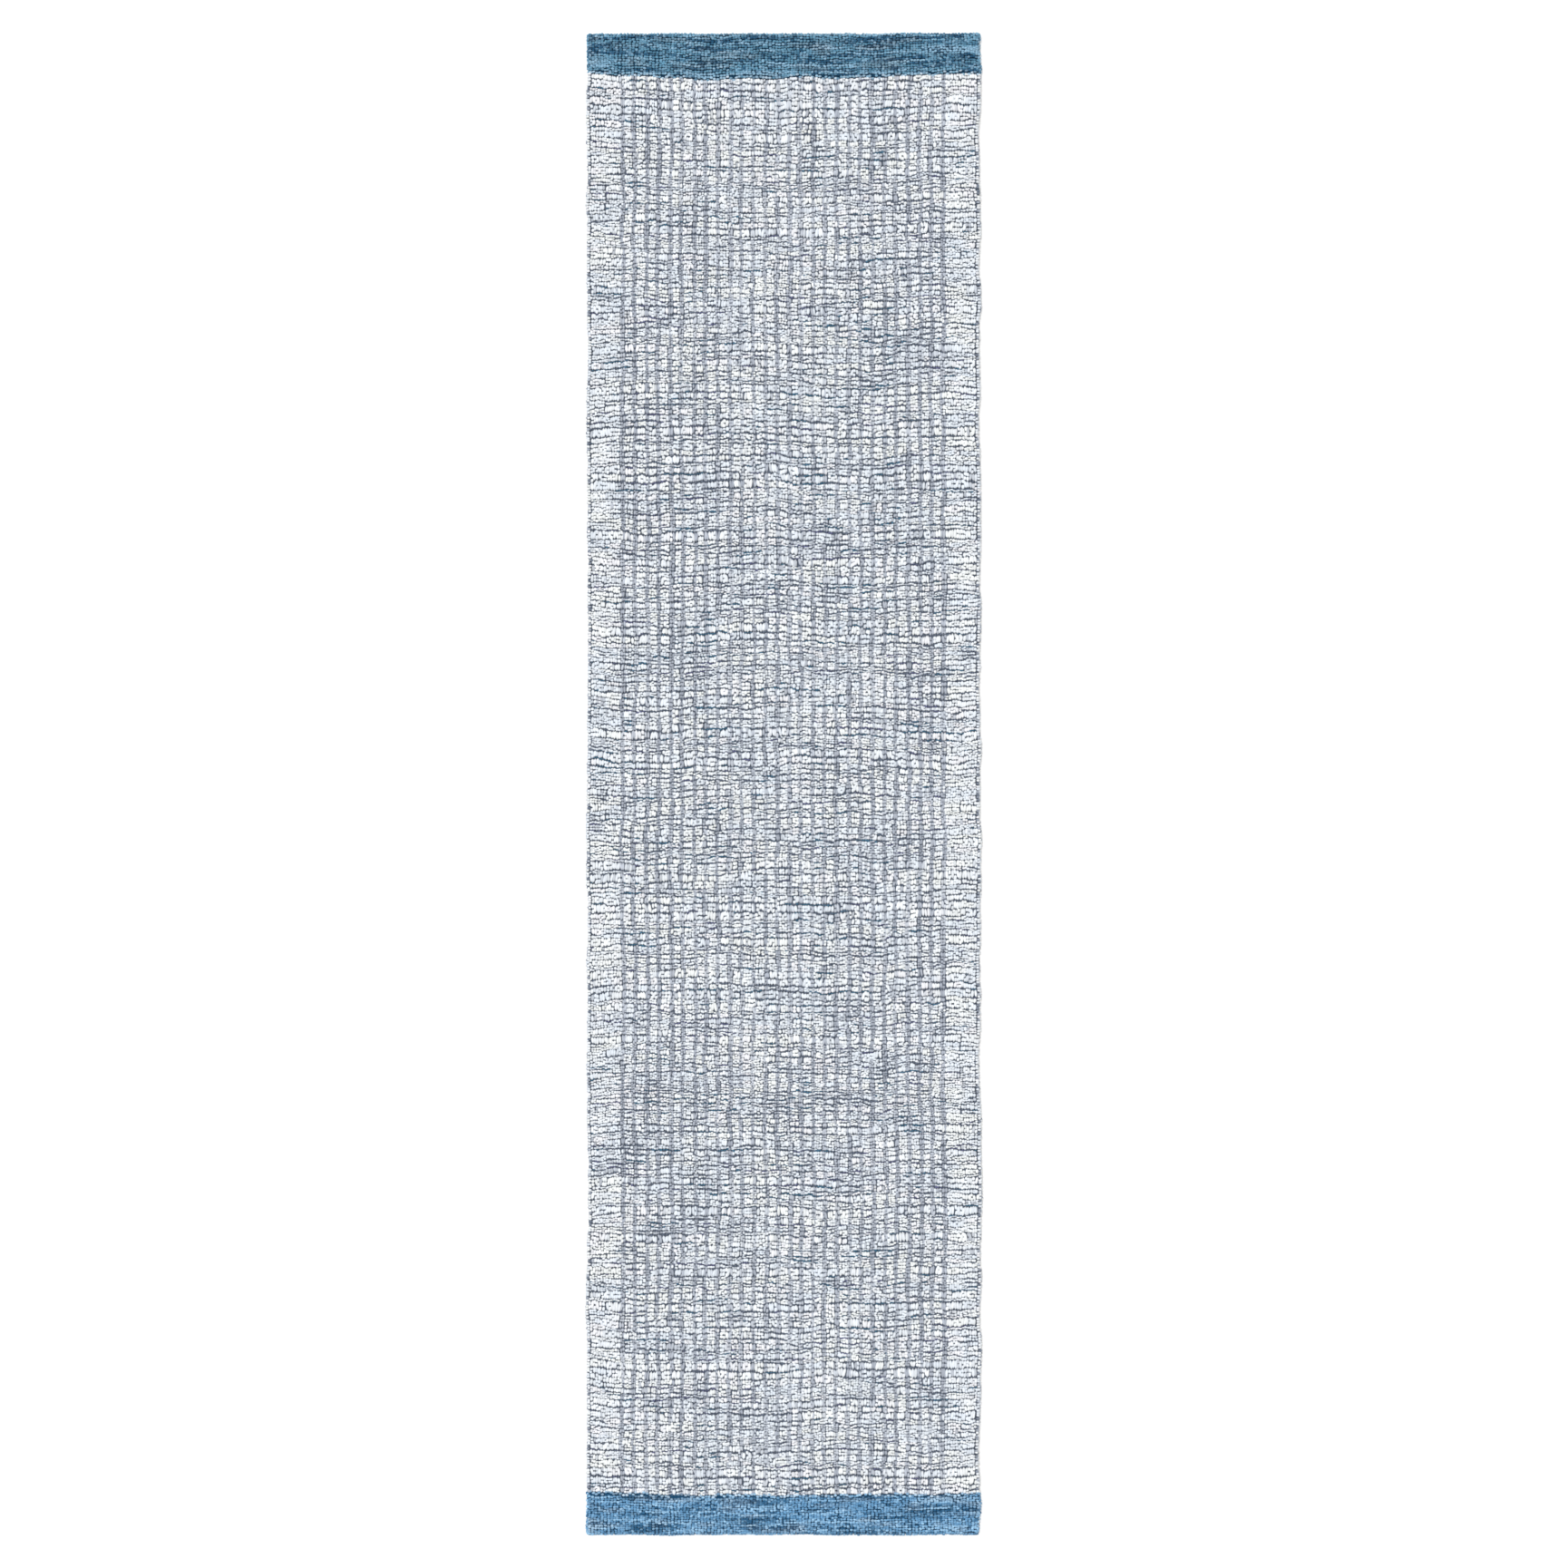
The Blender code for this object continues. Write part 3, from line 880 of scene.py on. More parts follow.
def ring_solid(outline, levels):
    """A closed solid through insets of one outline. levels are (inset, height), from the middle of one
    face, round the edge, to the middle of the other. Fans close both ends."""
    count = len(outline)
    middle = (outline.max(0) + outline.min(0)) / 2
    half = np.ptp(outline, axis=0) / 2
    points = []
    for inset, height in levels:
        ring = middle + (outline - middle) * (half - inset) / half
        points.append(np.concatenate([ring, np.full((count, 1), height)], 1))
    points.append([[*middle, levels[0][1]], [*middle, levels[-1][1]]])
    faces = []
    here = np.arange(count)
    after = (here + 1) % count
    for step in range(len(levels) - 1):
        a, b = step * count + here, step * count + after
        faces += [np.stack([a, b, b + count], 1), np.stack([a, b + count, a + count], 1)]
    last = (len(levels) - 1) * count
    first_middle = len(levels) * count
    faces.append(np.stack([after, here, np.full(count, first_middle)], 1))
    faces.append(np.stack([last + here, last + after, np.full(count, first_middle + 1)], 1))
    return np.concatenate(points), np.concatenate(faces)


def tube_solid(sections):
    """A closed solid through matching cross-sections, each given as a ring of points."""
    count, sides = sections.shape[:2]
    index = np.arange(count * sides).reshape(count, sides)
    a, b = index[:-1].ravel(), index[1:].ravel()
    c, d = np.roll(index[1:], -1, axis=1).ravel(), np.roll(index[:-1], -1, axis=1).ravel()
    faces = [np.stack([a, b, c], 1), np.stack([a, c, d], 1)]
    middles = [sections[0].mean(0), sections[-1].mean(0)]
    total = count * sides
    first, last = index[0], index[-1]
    faces.append(np.stack([first, np.roll(first, -1), np.full(sides, total)], 1))
    faces.append(np.stack([np.roll(last, -1), last, np.full(sides, total + 1)], 1))
    return np.concatenate([sections.reshape(-1, 3), middles]), np.concatenate(faces)


def slab_between(x, y, low, high):
    """A closed sheet over a grid in plan, from its lower to its upper heights."""
    rows, columns = x.shape
    index = np.arange(rows * columns).reshape(rows, columns)
    total = rows * columns
    upper = np.stack([x, y, high], -1).reshape(-1, 3)
    lower = np.stack([x, y, low], -1).reshape(-1, 3)
    a, b = index[:-1, :-1].ravel(), index[1:, :-1].ravel()
    c, d = index[1:, 1:].ravel(), index[:-1, 1:].ravel()
    faces = [np.stack([a, b, c], 1), np.stack([a, c, d], 1)]
    faces += [np.stack([a, c, b], 1) + total, np.stack([a, d, c], 1) + total]
    rim = np.concatenate([index[:, 0], index[-1, 1:], index[-2::-1, -1], index[0, -2:0:-1]])
    after = np.roll(rim, -1)
    faces += [np.stack([rim + total, after + total, after], 1), np.stack([rim + total, after, rim], 1)]
    return np.concatenate([upper, lower]), np.concatenate(faces)


def backing_piece(name, solid, material, node, pile):
    """A piece of the backing, which is stretched as the whole rug is."""
    points, faces = solid
    return mesh_piece(name, stretched_points(points, pile), faces, material, [node])


# ---------------------------------------------------------------------------------------------------
# Operators


class RUG_OT_root_bed(Operator):
    """Lay the bed of tuft roots that closes the gaps under the loops, coloured dark as painted shade"""

    bl_idname = "rug.root_bed"
    bl_label = "Root Bed"

    def execute(self, context):
        pile, yarn = rug_settings(context)
        top = PILE_TOP - pile.loop_depth - 0.0004
        ivory = (ivory_wool(), "ivory_wool")
        blue = (blue_wool(), "blue_wool")
        # The bed takes the darkest yarn of each part as painted shade, so the gaps between the loops look
        # dark.
        spans = [
            ("field_root_bed_painted_shade", -FIELD_END, FIELD_END, "ground_pile", yarn.dark_slate, *ivory),
            ("far_band_root_bed_painted_shade", FIELD_END, HALF_LENGTH, "end_band_far", yarn.far_navy, *blue),
            ("near_band_root_bed_painted_shade", -HALF_LENGTH, -FIELD_END, "end_band_near", yarn.near_navy, *blue),
        ]
        for name, low, high, node, dye, material, slot in spans:
            x_lines = np.linspace(-HALF_WIDTH + BED_INSET, HALF_WIDTH - BED_INSET, 56)
            low_end = low + (BED_INSET if low == -HALF_LENGTH else 0.0001)
            high_end = high - (BED_INSET if high == HALF_LENGTH else 0.0001)
            y_lines = np.linspace(low_end, high_end, max(8, round((high - low) / 0.012)))
            grid_x, grid_y = np.meshgrid(x_lines, y_lines, indexing="ij")
            height = top - PILE_BASE + 0.0004 * drift(grid_x, grid_y, 0.008, 0.008, pile.seed + 70)
            # The bed's colour is painted shade: that dark yarn, darkened further by 0.9.
            points, faces, colours = bed_solid(grid_x, grid_y, height, np.array(dye) * 0.9, pile)
            atlas = (points[faces.ravel()][:, :2] + [HALF_WIDTH, HALF_LENGTH]) / (2 * HALF_LENGTH)
            piece = mesh_piece(name, points, faces, material, [node], colours, atlas)
            piece["is_pile"] = True
        return {"FINISHED"}


def into_corner(x, y):
    """How far each place lies across and along into the square at the nearest corner."""
    across = np.maximum(np.abs(x) - HALF_WIDTH + CORNER_SQUARE, 0)
    return [across, np.maximum(np.abs(y) - HALF_LENGTH + CORNER_SQUARE, 0)]


def bed_solid(grid_x, grid_y, height, dye, pile):
    """The bed over a grid: points, faces and colours; the colours are painted shade, made uneven."""
    # The corners are rounded off, to stay under the rolled edge.
    over = into_corner(grid_x, grid_y)
    reach = np.maximum(np.hypot(*over), 1e-6)
    pull = np.where(np.minimum(*over) > 0, 1 - np.maximum(*over) / reach, 0.0)
    grid_x = grid_x - np.sign(grid_x) * over[0] * pull
    grid_y = grid_y - np.sign(grid_y) * over[1] * pull
    px, py = wandered(grid_x, grid_y, pile)
    points, faces = slab_between(px, py, np.full_like(px, PILE_BASE), PILE_BASE + height)
    # Uneven painted shade over the bed.
    tone = 1 + 0.25 * drift(points[:, 0], points[:, 1], 0.006, 0.006, pile.seed + 71)
    return points, faces, np.clip(dye * tone[:, None], 0, 1)


class RUG_OT_ground_loops(Operator):
    """Tuft the ivory loops and accent rows between the stripes and on both side margins"""

    bl_idname = "rug.ground_loops"
    bl_label = "Ground Loops"

    def execute(self, context):
        pile, yarn = rug_settings(context)
        edges = strip_edges(pile)
        spans = [
            (f"ground_strip_{number:02d}", before[1], after[0])
            for number, (before, after) in enumerate(zip(edges, edges[1:]), start=1)
        ]
        margin = EDGE_LOW[0] - 0.0008
        left, right = edges[0, 0], edges[-1, 1]
        spans += [
            ("margin_loops_left_outer", -margin, (left - margin) / 2),
            ("margin_loops_left_inner", (left - margin) / 2, left),
            ("margin_loops_right_inner", right, (right + margin) / 2),
            ("margin_loops_right_outer", (right + margin) / 2, margin),
        ]
        column = np.mean(edges[1:, 0] - edges[:-1, 1]) / pile.ground_columns
        for name, low, high in spans:
            count = max(1, round((high - low) / column))
            xs, width = columns_between(low, high, count)
            tufts = Tufts()
            field_columns(tufts, xs, width, pile, yarn, "ground")
            tuft_piece(name, tufts, ivory_wool(), ["ground_pile"], pile.seed + 80)
        return {"FINISHED"}


class RUG_OT_stripe_loops(Operator):
    """Tuft the slate loops of each lengthwise stripe"""

    bl_idname = "rug.stripe_loops"
    bl_label = "Stripe Loops"

    def execute(self, context):
        pile, yarn = rug_settings(context)
        for number, (low, high) in enumerate(strip_edges(pile)):
            xs, width = columns_between(low, high, pile.stripe_columns)
            tufts = Tufts()
            field_columns(tufts, xs, width, pile, yarn, "stripe")
            name = f"stripe_loops_{number + 1:02d}"
            tuft_piece(name, tufts, slate_wool(), [STRIPE_NODES[number]], pile.seed + 90)
        return {"FINISHED"}


class RUG_OT_edge_rows(Operator):
    """Tuft the row of loops that finishes each long edge and rolls over it"""

    bl_idname = "rug.edge_rows"
    bl_label = "Edge Rows"

    def execute(self, context):
        pile, yarn = rug_settings(context)
        for side, word in ((-1, "left"), (1, "right")):
            rng = np.random.default_rng(pile.seed * 100 + 5 + side)
            tufts = Tufts()
            y = np.arange(-FIELD_END + EDGE_PITCH / 2, FIELD_END, EDGE_PITCH)
            y = y + rng.uniform(-0.0005, 0.0005, y.size)
            self.add_rolled_rows(tufts, side, y, pile, yarn, rng)
            self.add_dark_line(tufts, side, y, pile, yarn, rng)
            name, node = f"edge_loops_{word}", f"edge_row_{word}"
            tuft_piece(name, tufts, ivory_wool(), [node], pile.seed + 95)
        return {"FINISHED"}

    def add_rolled_rows(self, tufts, side, y, pile, yarn, rng):
        """Three rows that lean further out, and are painted darker as painted shade, the lower they stand.
        """
        slate, dark = np.array(yarn.slate), np.array(yarn.dark_slate)
        outward = np.stack([np.full(y.size, float(side)), np.zeros(y.size)], 1)
        # (distance in from the edge, height of the base above the cloth, tilt, width, height, painted
        # shade factor)
        rows = [
            (0.0060, 0.0040, 0.15, 0.0058, 0.0049, 0.97),
            (0.0052, 0.0028, 0.72, 0.0046, 0.0046, 0.90),
            (0.0054, 0.0014, 0.97, 0.0034, 0.0044, 0.80),
        ]
        for number, (inset, lift, tilt, width, height, shade) in enumerate(rows):
            runs = np.arange(y.size) + 900 * number
            ground = ground_dye(side * HALF_WIDTH + 0 * y, runs, y, pile, yarn)
            speck = rng.random(y.size) < 0.22
            mixed = blend(slate, dark, rng.random(y.size))
            # The lower rows are painted darker by their shade factor: painted shade under the roll.
            colour = np.where(speck[:, None], mixed, ground * shade)
            colour = colour * rng.uniform(0.88, 1.02, y.size)[:, None]
            spot = y + rng.uniform(-0.0009, 0.0009, y.size)
            px, py = wandered(side * (HALF_WIDTH - inset) + 0 * y, spot, pile)
            length = EDGE_PITCH * rng.uniform(0.85, 1.12, y.size)
            tall = height * rng.uniform(0.85, 1.08, y.size)
            size = (width, length, tall)
            tufts.add(FULL_LOOP, px, py, PILE_BASE + lift, *size, colour, 0.0, outward, tilt)

    def add_dark_line(self, tufts, side, y, pile, yarn, rng):
        """A broken line of dark yarn just inside the rolled rows."""
        runs = drift(0 * y, y, 1.0, 0.05, pile.seed * 100 + 7 + side)
        keep = rng.random(y.size) < 0.45 + 0.5 * ramp(runs, -0.4, 0.6)
        inside = side * (EDGE_LOW[0] - 0.0002) + rng.uniform(-0.0009, 0.0009, y.size)
        px, py = wandered(inside, y, pile)
        colour = np.array(yarn.dark_slate) * rng.uniform(0.75, 1.3, y.size)[:, None]
        width = 0.0030 * rng.uniform(0.7, 1.2, keep.sum())
        length = EDGE_PITCH * rng.uniform(0.7, 1.1, keep.sum())
        size = (width, length, pile.loop_depth * 0.88)
        base = PILE_TOP - pile.loop_depth
        tufts.add(SMALL_LOOP, px[keep], py[keep], base, *size, colour[keep])


def band_colours(x, y, rows_in, blues, seed):
    """Heathered blue with lengthwise-thin, crosswise-long streaks of navy and flecks of sky."""
    base, navy, sky = blues
    rng = np.random.default_rng(seed)
    slant = y + 0.004 * drift(x, y, 0.09, 0.3, seed + 4)
    streak = 1.30 * drift(x, slant, 0.100, 0.0038, seed + 1)
    streak = streak + 0.50 * drift(x, slant, 0.030, 0.0036, seed + 2)
    broad = drift(x, y, 0.16, 0.016, seed + 3)
    colour = np.broadcast_to(base, (*x.shape, 3)) * (1 + 0.12 * broad)[..., None]
    colour = blend(colour, navy, ramp(streak - 0.25 * broad, 0.0, 1.0))
    light = 0.70 * ramp(-streak, 0.1, 1.1) + 0.70 * rng.random(x.shape) ** 4
    light = light + 0.25 * np.exp(-rows_in / 0.0035)
    colour = blend(colour, sky, np.clip(light, 0, 0.9))
    dim = rng.random(x.shape) < 0.13
    colour = np.where(dim[..., None], blend(colour, navy, rng.uniform(0.3, 0.9, x.shape)), colour)
    # Short runs of greyer yarn.
    grey = 0.24 * ramp(drift(x, slant, 0.040, 0.009, seed + 8), 0.1, 0.9)
    colour = colour + (0.90 * colour.mean(-1, keepdims=True) - colour) * grey[..., None]
    return colour * rng.uniform(0.88, 1.09, x.shape)[..., None]


class RUG_OT_end_bands(Operator):
    """Tuft the fine blue loops of both end bands, with a rolled outer edge"""

    bl_idname = "rug.end_bands"
    bl_label = "End Bands"

    def execute(self, context):
        pile, yarn = rug_settings(context)
        bands = [
            (1, "far_band_loops", "end_band_far", (yarn.far_blue, yarn.far_navy, yarn.far_sky)),
            (-1, "near_band_loops", "end_band_near", (yarn.near_blue, yarn.near_navy, yarn.near_sky)),
        ]
        for end, name, node, dyes in bands:
            blues = [np.array(dye) for dye in dyes]
            seed = pile.seed * 100 + 200 + end
            rng = np.random.default_rng(seed)
            tufts = Tufts()
            inner, outer, side = BAND_LOW[1], HALF_LENGTH - BAND_INSET, HALF_WIDTH - BAND_INSET
            rows = round((outer - inner) / pile.band_pitch)
            columns = round(2 * side / pile.band_column)
            ys, depth = columns_between(inner, outer, rows)
            xs, width = columns_between(-side, side, columns)
            x, y = np.meshgrid(xs, ys, indexing="ij")
            first = y < inner + depth
            x = x + 0.25 * width * rng.uniform(-0.5, 0.5, rows)[None, :]
            stray = rng.uniform(-0.0006, 0.0006, x.shape)
            x = x + stray + 0.0012 * drift(x, y, 0.013, 0.013, seed + 6)
            stray = rng.uniform(-0.0006, 0.0006, x.shape)
            y = y + stray + 0.0022 * drift(x, y, 0.024, 0.014, seed + 7)
            # Where the band meets the ground, its first loops reach in between the ivory ones.
            reach = rng.uniform(-0.0042, 0.0020, x.shape) * (rng.random(x.shape) < 0.8)
            y = np.where(first, inner + depth / 2 + reach, np.maximum(y, inner + depth))
            corner = np.hypot(*into_corner(x, y))
            keep = (corner < CORNER_REACH) & (np.abs(x) < HALF_WIDTH - 0.004)
            rows_in = np.minimum(HALF_LENGTH - y, HALF_WIDTH - np.abs(x))
            colour = band_colours(x, end * y, rows_in, blues, seed + 5)
            pale = blend(blues[2], np.array(yarn.cool_ivory), rng.uniform(0.0, 0.6, x.shape))
            mixed = colour + (pale - colour) * rng.uniform(0, 1, x.shape)[..., None]
            colour = np.where(first[..., None], mixed, colour)
            px, py = wandered(x, end * y, pile)
            lift = -0.0008 * np.exp(-rows_in / 0.006) + 0.0006 * first
            heading = rng.uniform(0, 2 * np.pi, keep.sum())
            tufts.add(
                FULL_LOOP,
                px[keep],
                py[keep],
                (PILE_TOP - pile.loop_depth + lift)[keep],
                width * rng.uniform(1.05, 1.3, x.shape)[keep],
                depth * rng.uniform(1.05, 1.35, x.shape)[keep],
                (pile.loop_depth * rng.uniform(0.84, 1.04, x.shape))[keep],
                colour[keep],
                rng.uniform(-0.35, 0.35, x.shape)[keep],
                np.stack([np.cos(heading), np.sin(heading)], 1),
                rng.uniform(0.0, 0.35, keep.sum()),
            )
            self.add_rolled_edge(tufts, end, blues, pile, seed, rng)
            tuft_piece(name, tufts, blue_wool(), [node], pile.seed + 97)
        return {"FINISHED"}

    def add_rolled_edge(self, tufts, end, blues, pile, seed, rng):
        """Rows of loops round the band's outline that lean further out the lower they stand."""
        outline = rounded_outline(HALF_WIDTH, HALF_LENGTH, ROLL_RADIUS, pile.band_column, 3)
        direction = -inward(outline)
        mine = end * outline[:, 1] > BAND_LOW[1] + 0.001
        place, direction = outline[mine], direction[mine]
        # (distance in from the edge, height of the base above the cloth, tilt, height)
        rows = [
            (0.0048, 0.0034, 0.45, 0.0050),
            (0.0046, 0.0024, 0.80, 0.0046),
            (0.0050, 0.0012, 0.98, 0.0044),
        ]
        for inset, lift, tilt, height in rows:
            spot = place - direction * inset + rng.uniform(-0.0009, 0.0009, place.shape)
            x, y = spot.T
            colour = band_colours(x, y, 0 * x + 0.002, blues, seed + 5 + int(lift * 1e4))
            px, py = wandered(x, y, pile)
            turn = np.arctan2(direction[:, 1], direction[:, 0])
            length = pile.band_column * rng.uniform(0.9, 1.2, px.shape)
            size = (0.0042, length, height * rng.uniform(0.88, 1.08, px.shape))
            tufts.add(FULL_LOOP, px, py, PILE_BASE + lift, *size, colour, turn, direction, tilt)


class RUG_OT_backing_cloth(Operator):
    """Fold the tufting cloth round the latex and finish the latex itself"""

    bl_idname = "rug.backing_cloth"
    bl_label = "Backing Cloth"

    def execute(self, context):
        backing, pile = context.scene.rug_backing, context.scene.rug_pile
        tape_low, tape_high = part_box("binding_tape_right")
        hem = tape_high[0] - tape_low[0] + HEM_PAST_TAPE
        width, length = CLOTH_HIGH[0], CLOTH_HIGH[1]
        outline = rounded_outline(width, length, CLOTH_RADIUS, SHEET_SPACING)
        solid = ring_solid(outline, self.fold_levels(hem)[::-1])
        material = woven_material("Tufting Cloth", backing.cloth, 0.0009, 0.2, 0.6)
        cloth = backing_piece(
            "tufting_cloth", solid, material, "primary_backing", pile
        )
        solid = ring_solid(outline, self.latex_levels(hem))
        material = latex_material(backing.latex)
        backing_piece("latex_layer", solid, material, "latex_coat", pile)
        return {"FINISHED"}

    def fold_levels(self, hem):
        """The cloth in section: in along its top, round the rolled edge, and back along the hem."""
        low, high, thick = CLOTH_LOW[2], CLOTH_HIGH[2], CLOTH_THICKNESS
        radius = (high - low) / 2

        def bend(reach, start, turn):
            angles = [math.radians(start + turn * step) for step in range(7)]
            return [
                (radius - reach * math.cos(angle), low + radius + reach * math.sin(angle))
                for angle in angles
            ]

        levels = [(FLAT_TO, high), (FLAT_FROM, high), *bend(radius, 90, -30), (FLAT_FROM, low)]
        levels += [(hem - 0.0003, low), (hem, low + thick / 2), (hem - 0.0003, low + thick)]
        levels += bend(radius - thick, -90, 30)
        return levels + [(FLAT_FROM, high - thick), (FLAT_TO, high - thick)]

    def latex_levels(self, hem):
        """The latex fills the cloth's fold and, inside the hem, comes down to the canvas."""
        latex_low, latex_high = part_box("latex_coat")
        edge = CLOTH_HIGH[0] - latex_high[0] + 0.0004
        top = CLOTH_HIGH[2] - CLOTH_THICKNESS - 0.0001
        under_fold = CLOTH_LOW[2] + CLOTH_THICKNESS + 0.0001
        under = latex_low[2] + 0.0001
        return [
            (FLAT_TO, under),
            (hem + 0.0006, under),
            (hem + 0.0004, under_fold),
            (edge, under_fold),
            (edge, top),
            (FLAT_TO, top),
        ]


class RUG_OT_canvas(Operator):
    """Glue on the canvas, which is pushed up where the label lies under it"""

    bl_idname = "rug.canvas"
    bl_label = "Canvas"

    def execute(self, context):
        backing = context.scene.rug_backing
        pile = context.scene.rug_pile
        step = 0.0015

        def grid_lines(low, high, first, last):
            """Even lines over the canvas, and closer ones where it steps up round the label."""
            lines = list(np.linspace(low, high, round((high - low) / SHEET_SPACING)))
            lines += [first - 2 * step, first - step, last + step, last + 2 * step]
            return np.unique(np.round(lines, 6))

        lines = [
            grid_lines(CANVAS_LOW[axis], CANVAS_HIGH[axis], LABEL_LOW[axis], LABEL_HIGH[axis])
            for axis in (0, 1)
        ]
        x, y = np.meshgrid(*lines, indexing="ij")
        off_label = np.maximum.reduce(
            [LABEL_LOW[0] - x, x - LABEL_HIGH[0], LABEL_LOW[1] - y, y - LABEL_HIGH[1]]
        )
        lift = (LABEL_HIGH[2] + 0.00025) * (1 - ramp(off_label, 0.3 * step, 1.9 * step))
        wave = 0.00012 * (1 + drift(x, y, 0.05, 0.05, pile.seed + 300))
        low = lift + wave
        solid = slab_between(x, y, low, low + CANVAS_THICKNESS)
        material = woven_material("Canvas", backing.canvas, 0.0014, 0.3, 0.9)
        canvas = backing_piece("canvas_sheet", solid, material, "canvas_backing", pile)
        return {"FINISHED"}


STITCH = LoopShape(6, [(0.55, 0.12), (1.0, 0.5), (0.55, 0.88)], 2.0)


def stitch_line(tufts, start, end, backing, height):
    """Stitches end to end along a straight seam, each lying flat on the underside."""
    start, end = np.array(start), np.array(end)
    run = np.linalg.norm(end - start)
    count = int(run / backing.stitch_pitch)
    spots = start + (end - start) * ((np.arange(count) + 0.5) / count)[:, None]
    turn = math.atan2(end[1] - start[1], end[0] - start[0])
    thread = np.array(backing.thread)
    size = (backing.stitch_length, backing.thread_width, backing.thread_width)
    tufts.add(STITCH, spots[:, 0], spots[:, 1], height, *size, thread, turn)


def stitch_piece(name, tufts, seed, pile):
    points, faces, colours, atlas = tufts.meshed(seed)
    points = stretched_points(points, pile)
    thread = wool_material("Sewing Thread", 0.2, 1500.0)
    return mesh_piece(name, points, faces, thread, [], colours, atlas)


class RUG_OT_binding_tapes(Operator):
    """Lay the four binding tapes and sew them down along both of their edges"""

    bl_idname = "rug.binding_tapes"
    bl_label = "Binding Tapes"

    def execute(self, context):
        backing = context.scene.rug_backing
        pile = context.scene.rug_pile
        material = woven_material("Binding Tape", backing.tape, 0.0010, 0.15, 0.7)
        for node in TAPE_NODES:
            low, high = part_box(node)
            across = min(high[0] - low[0], high[1] - low[1])
            side_run = high[1] - low[1] > high[0] - low[0]
            sign = 1.0 if (low[0] if side_run else low[1]) > 0 else -1.0
            name = node.replace("binding_tape_", "tape_")
            solid = self.tape_solid(low, high, across, side_run, sign, pile)
            tape = backing_piece(name, solid, material, node, pile)
            tufts = Tufts()
            for inset in (SEAM_INSET, across - SEAM_INSET):
                x, y = CLOTH_HIGH[0] - inset, CLOTH_HIGH[1] - inset
                seam = [(-x, sign * y), (x, sign * y)]
                if side_run:
                    seam = [(sign * x, -y), (sign * x, y)]
                stitch_line(tufts, *seam, backing, 0.0)
            stitches = stitch_piece(f"{name}_stitches", tufts, pile.seed + 320, pile)
        return {"FINISHED"}

    def tape_solid(self, low, high, across, side_run, sign, pile):
        """One tape, mitred at both ends: a rounded cross-section carried along it."""
        half_run = CLOTH_HIGH[1] if side_run else CLOTH_HIGH[0]
        edge = high[0] if side_run else high[1]
        if sign < 0:
            edge = -(low[0] if side_run else low[1])
        thick = high[2] - low[2]
        # Places across the tape, as shares of its width from the inner edge.
        under = [0.012, 0.25, 0.5, 0.75, 0.88, 0.95, 0.988]
        over = [0.988, 0.95, 0.88, 0.75, 0.5, 0.012]
        share = np.array([0.0, *under, 1.0, *over])
        level = np.array([0.5] + [0.0] * len(under) + [0.5] + [1.0] * len(over))
        height = 0.00025 + (thick - 0.00035) * level
        stations = np.linspace(-1, 1, round(half_run / 0.006))
        # Each end is cut along the mitre, and rounded off with the rug's corner at the outer edge.
        inset = across * (1 - share)
        within = np.clip(TAPE_RADIUS - inset, 0.0, TAPE_RADIUS)
        round_off = TAPE_RADIUS - np.sqrt(TAPE_RADIUS**2 - within**2)
        reach = half_run - np.maximum(inset, round_off) - 0.0004
        along = stations[:, None] * reach
        rough = drift(along, sign * share + 0 * along, 0.02, 0.5, pile.seed + 310)
        near_edge = np.where(np.abs(share - 0.5) > 0.4, 1, 0)
        sideways = edge - across + across * share + 0.00025 * rough * near_edge
        heights = np.broadcast_to(height, along.shape)
        if side_run:
            points = np.stack([sign * sideways, along, heights], -1)
        else:
            points = np.stack([along, sign * sideways, heights], -1)
        if (sign > 0) != side_run:
            points = points[:, ::-1]
        return tube_solid(points)


class RUG_OT_label(Operator):
    """Sew the blank label to the canvas"""

    bl_idname = "rug.label"
    bl_label = "Label"

    def execute(self, context):
        backing = context.scene.rug_backing
        pile = context.scene.rug_pile
        middle = [(LABEL_LOW[axis] + LABEL_HIGH[axis]) / 2 for axis in (0, 1)]
        half = [(LABEL_HIGH[axis] - LABEL_LOW[axis]) / 2 for axis in (0, 1)]
        outline = rounded_outline(half[0], half[1], 0.0008, 0.004, 2) + middle
        top = LABEL_HIGH[2]
        levels = [
            (0.008, 0.00004),
            (0.0003, 0.00004),
            (0.0, 0.00012),
            (0.0, top - 0.00008),
            (0.0003, top),
            (0.008, top),
        ]
        solid = ring_solid(outline, levels)
        material = woven_material("Label Satin", backing.label, 0.0004, 0.05, 0.3)
        label = backing_piece("blank_label", solid, material, "sewn_label", pile)
        tufts = Tufts()
        x, y = half[0] - SEAM_INSET, half[1] - SEAM_INSET
        corners = [(-x, -y), (x, -y), (x, y), (-x, y)]
        for here, after in zip(corners, corners[1:] + corners[:1]):
            stitch_line(tufts, np.add(here, middle), np.add(after, middle), backing, -0.0002)
        stitches = stitch_piece("label_stitches", tufts, pile.seed + 330, pile)
        return {"FINISHED"}


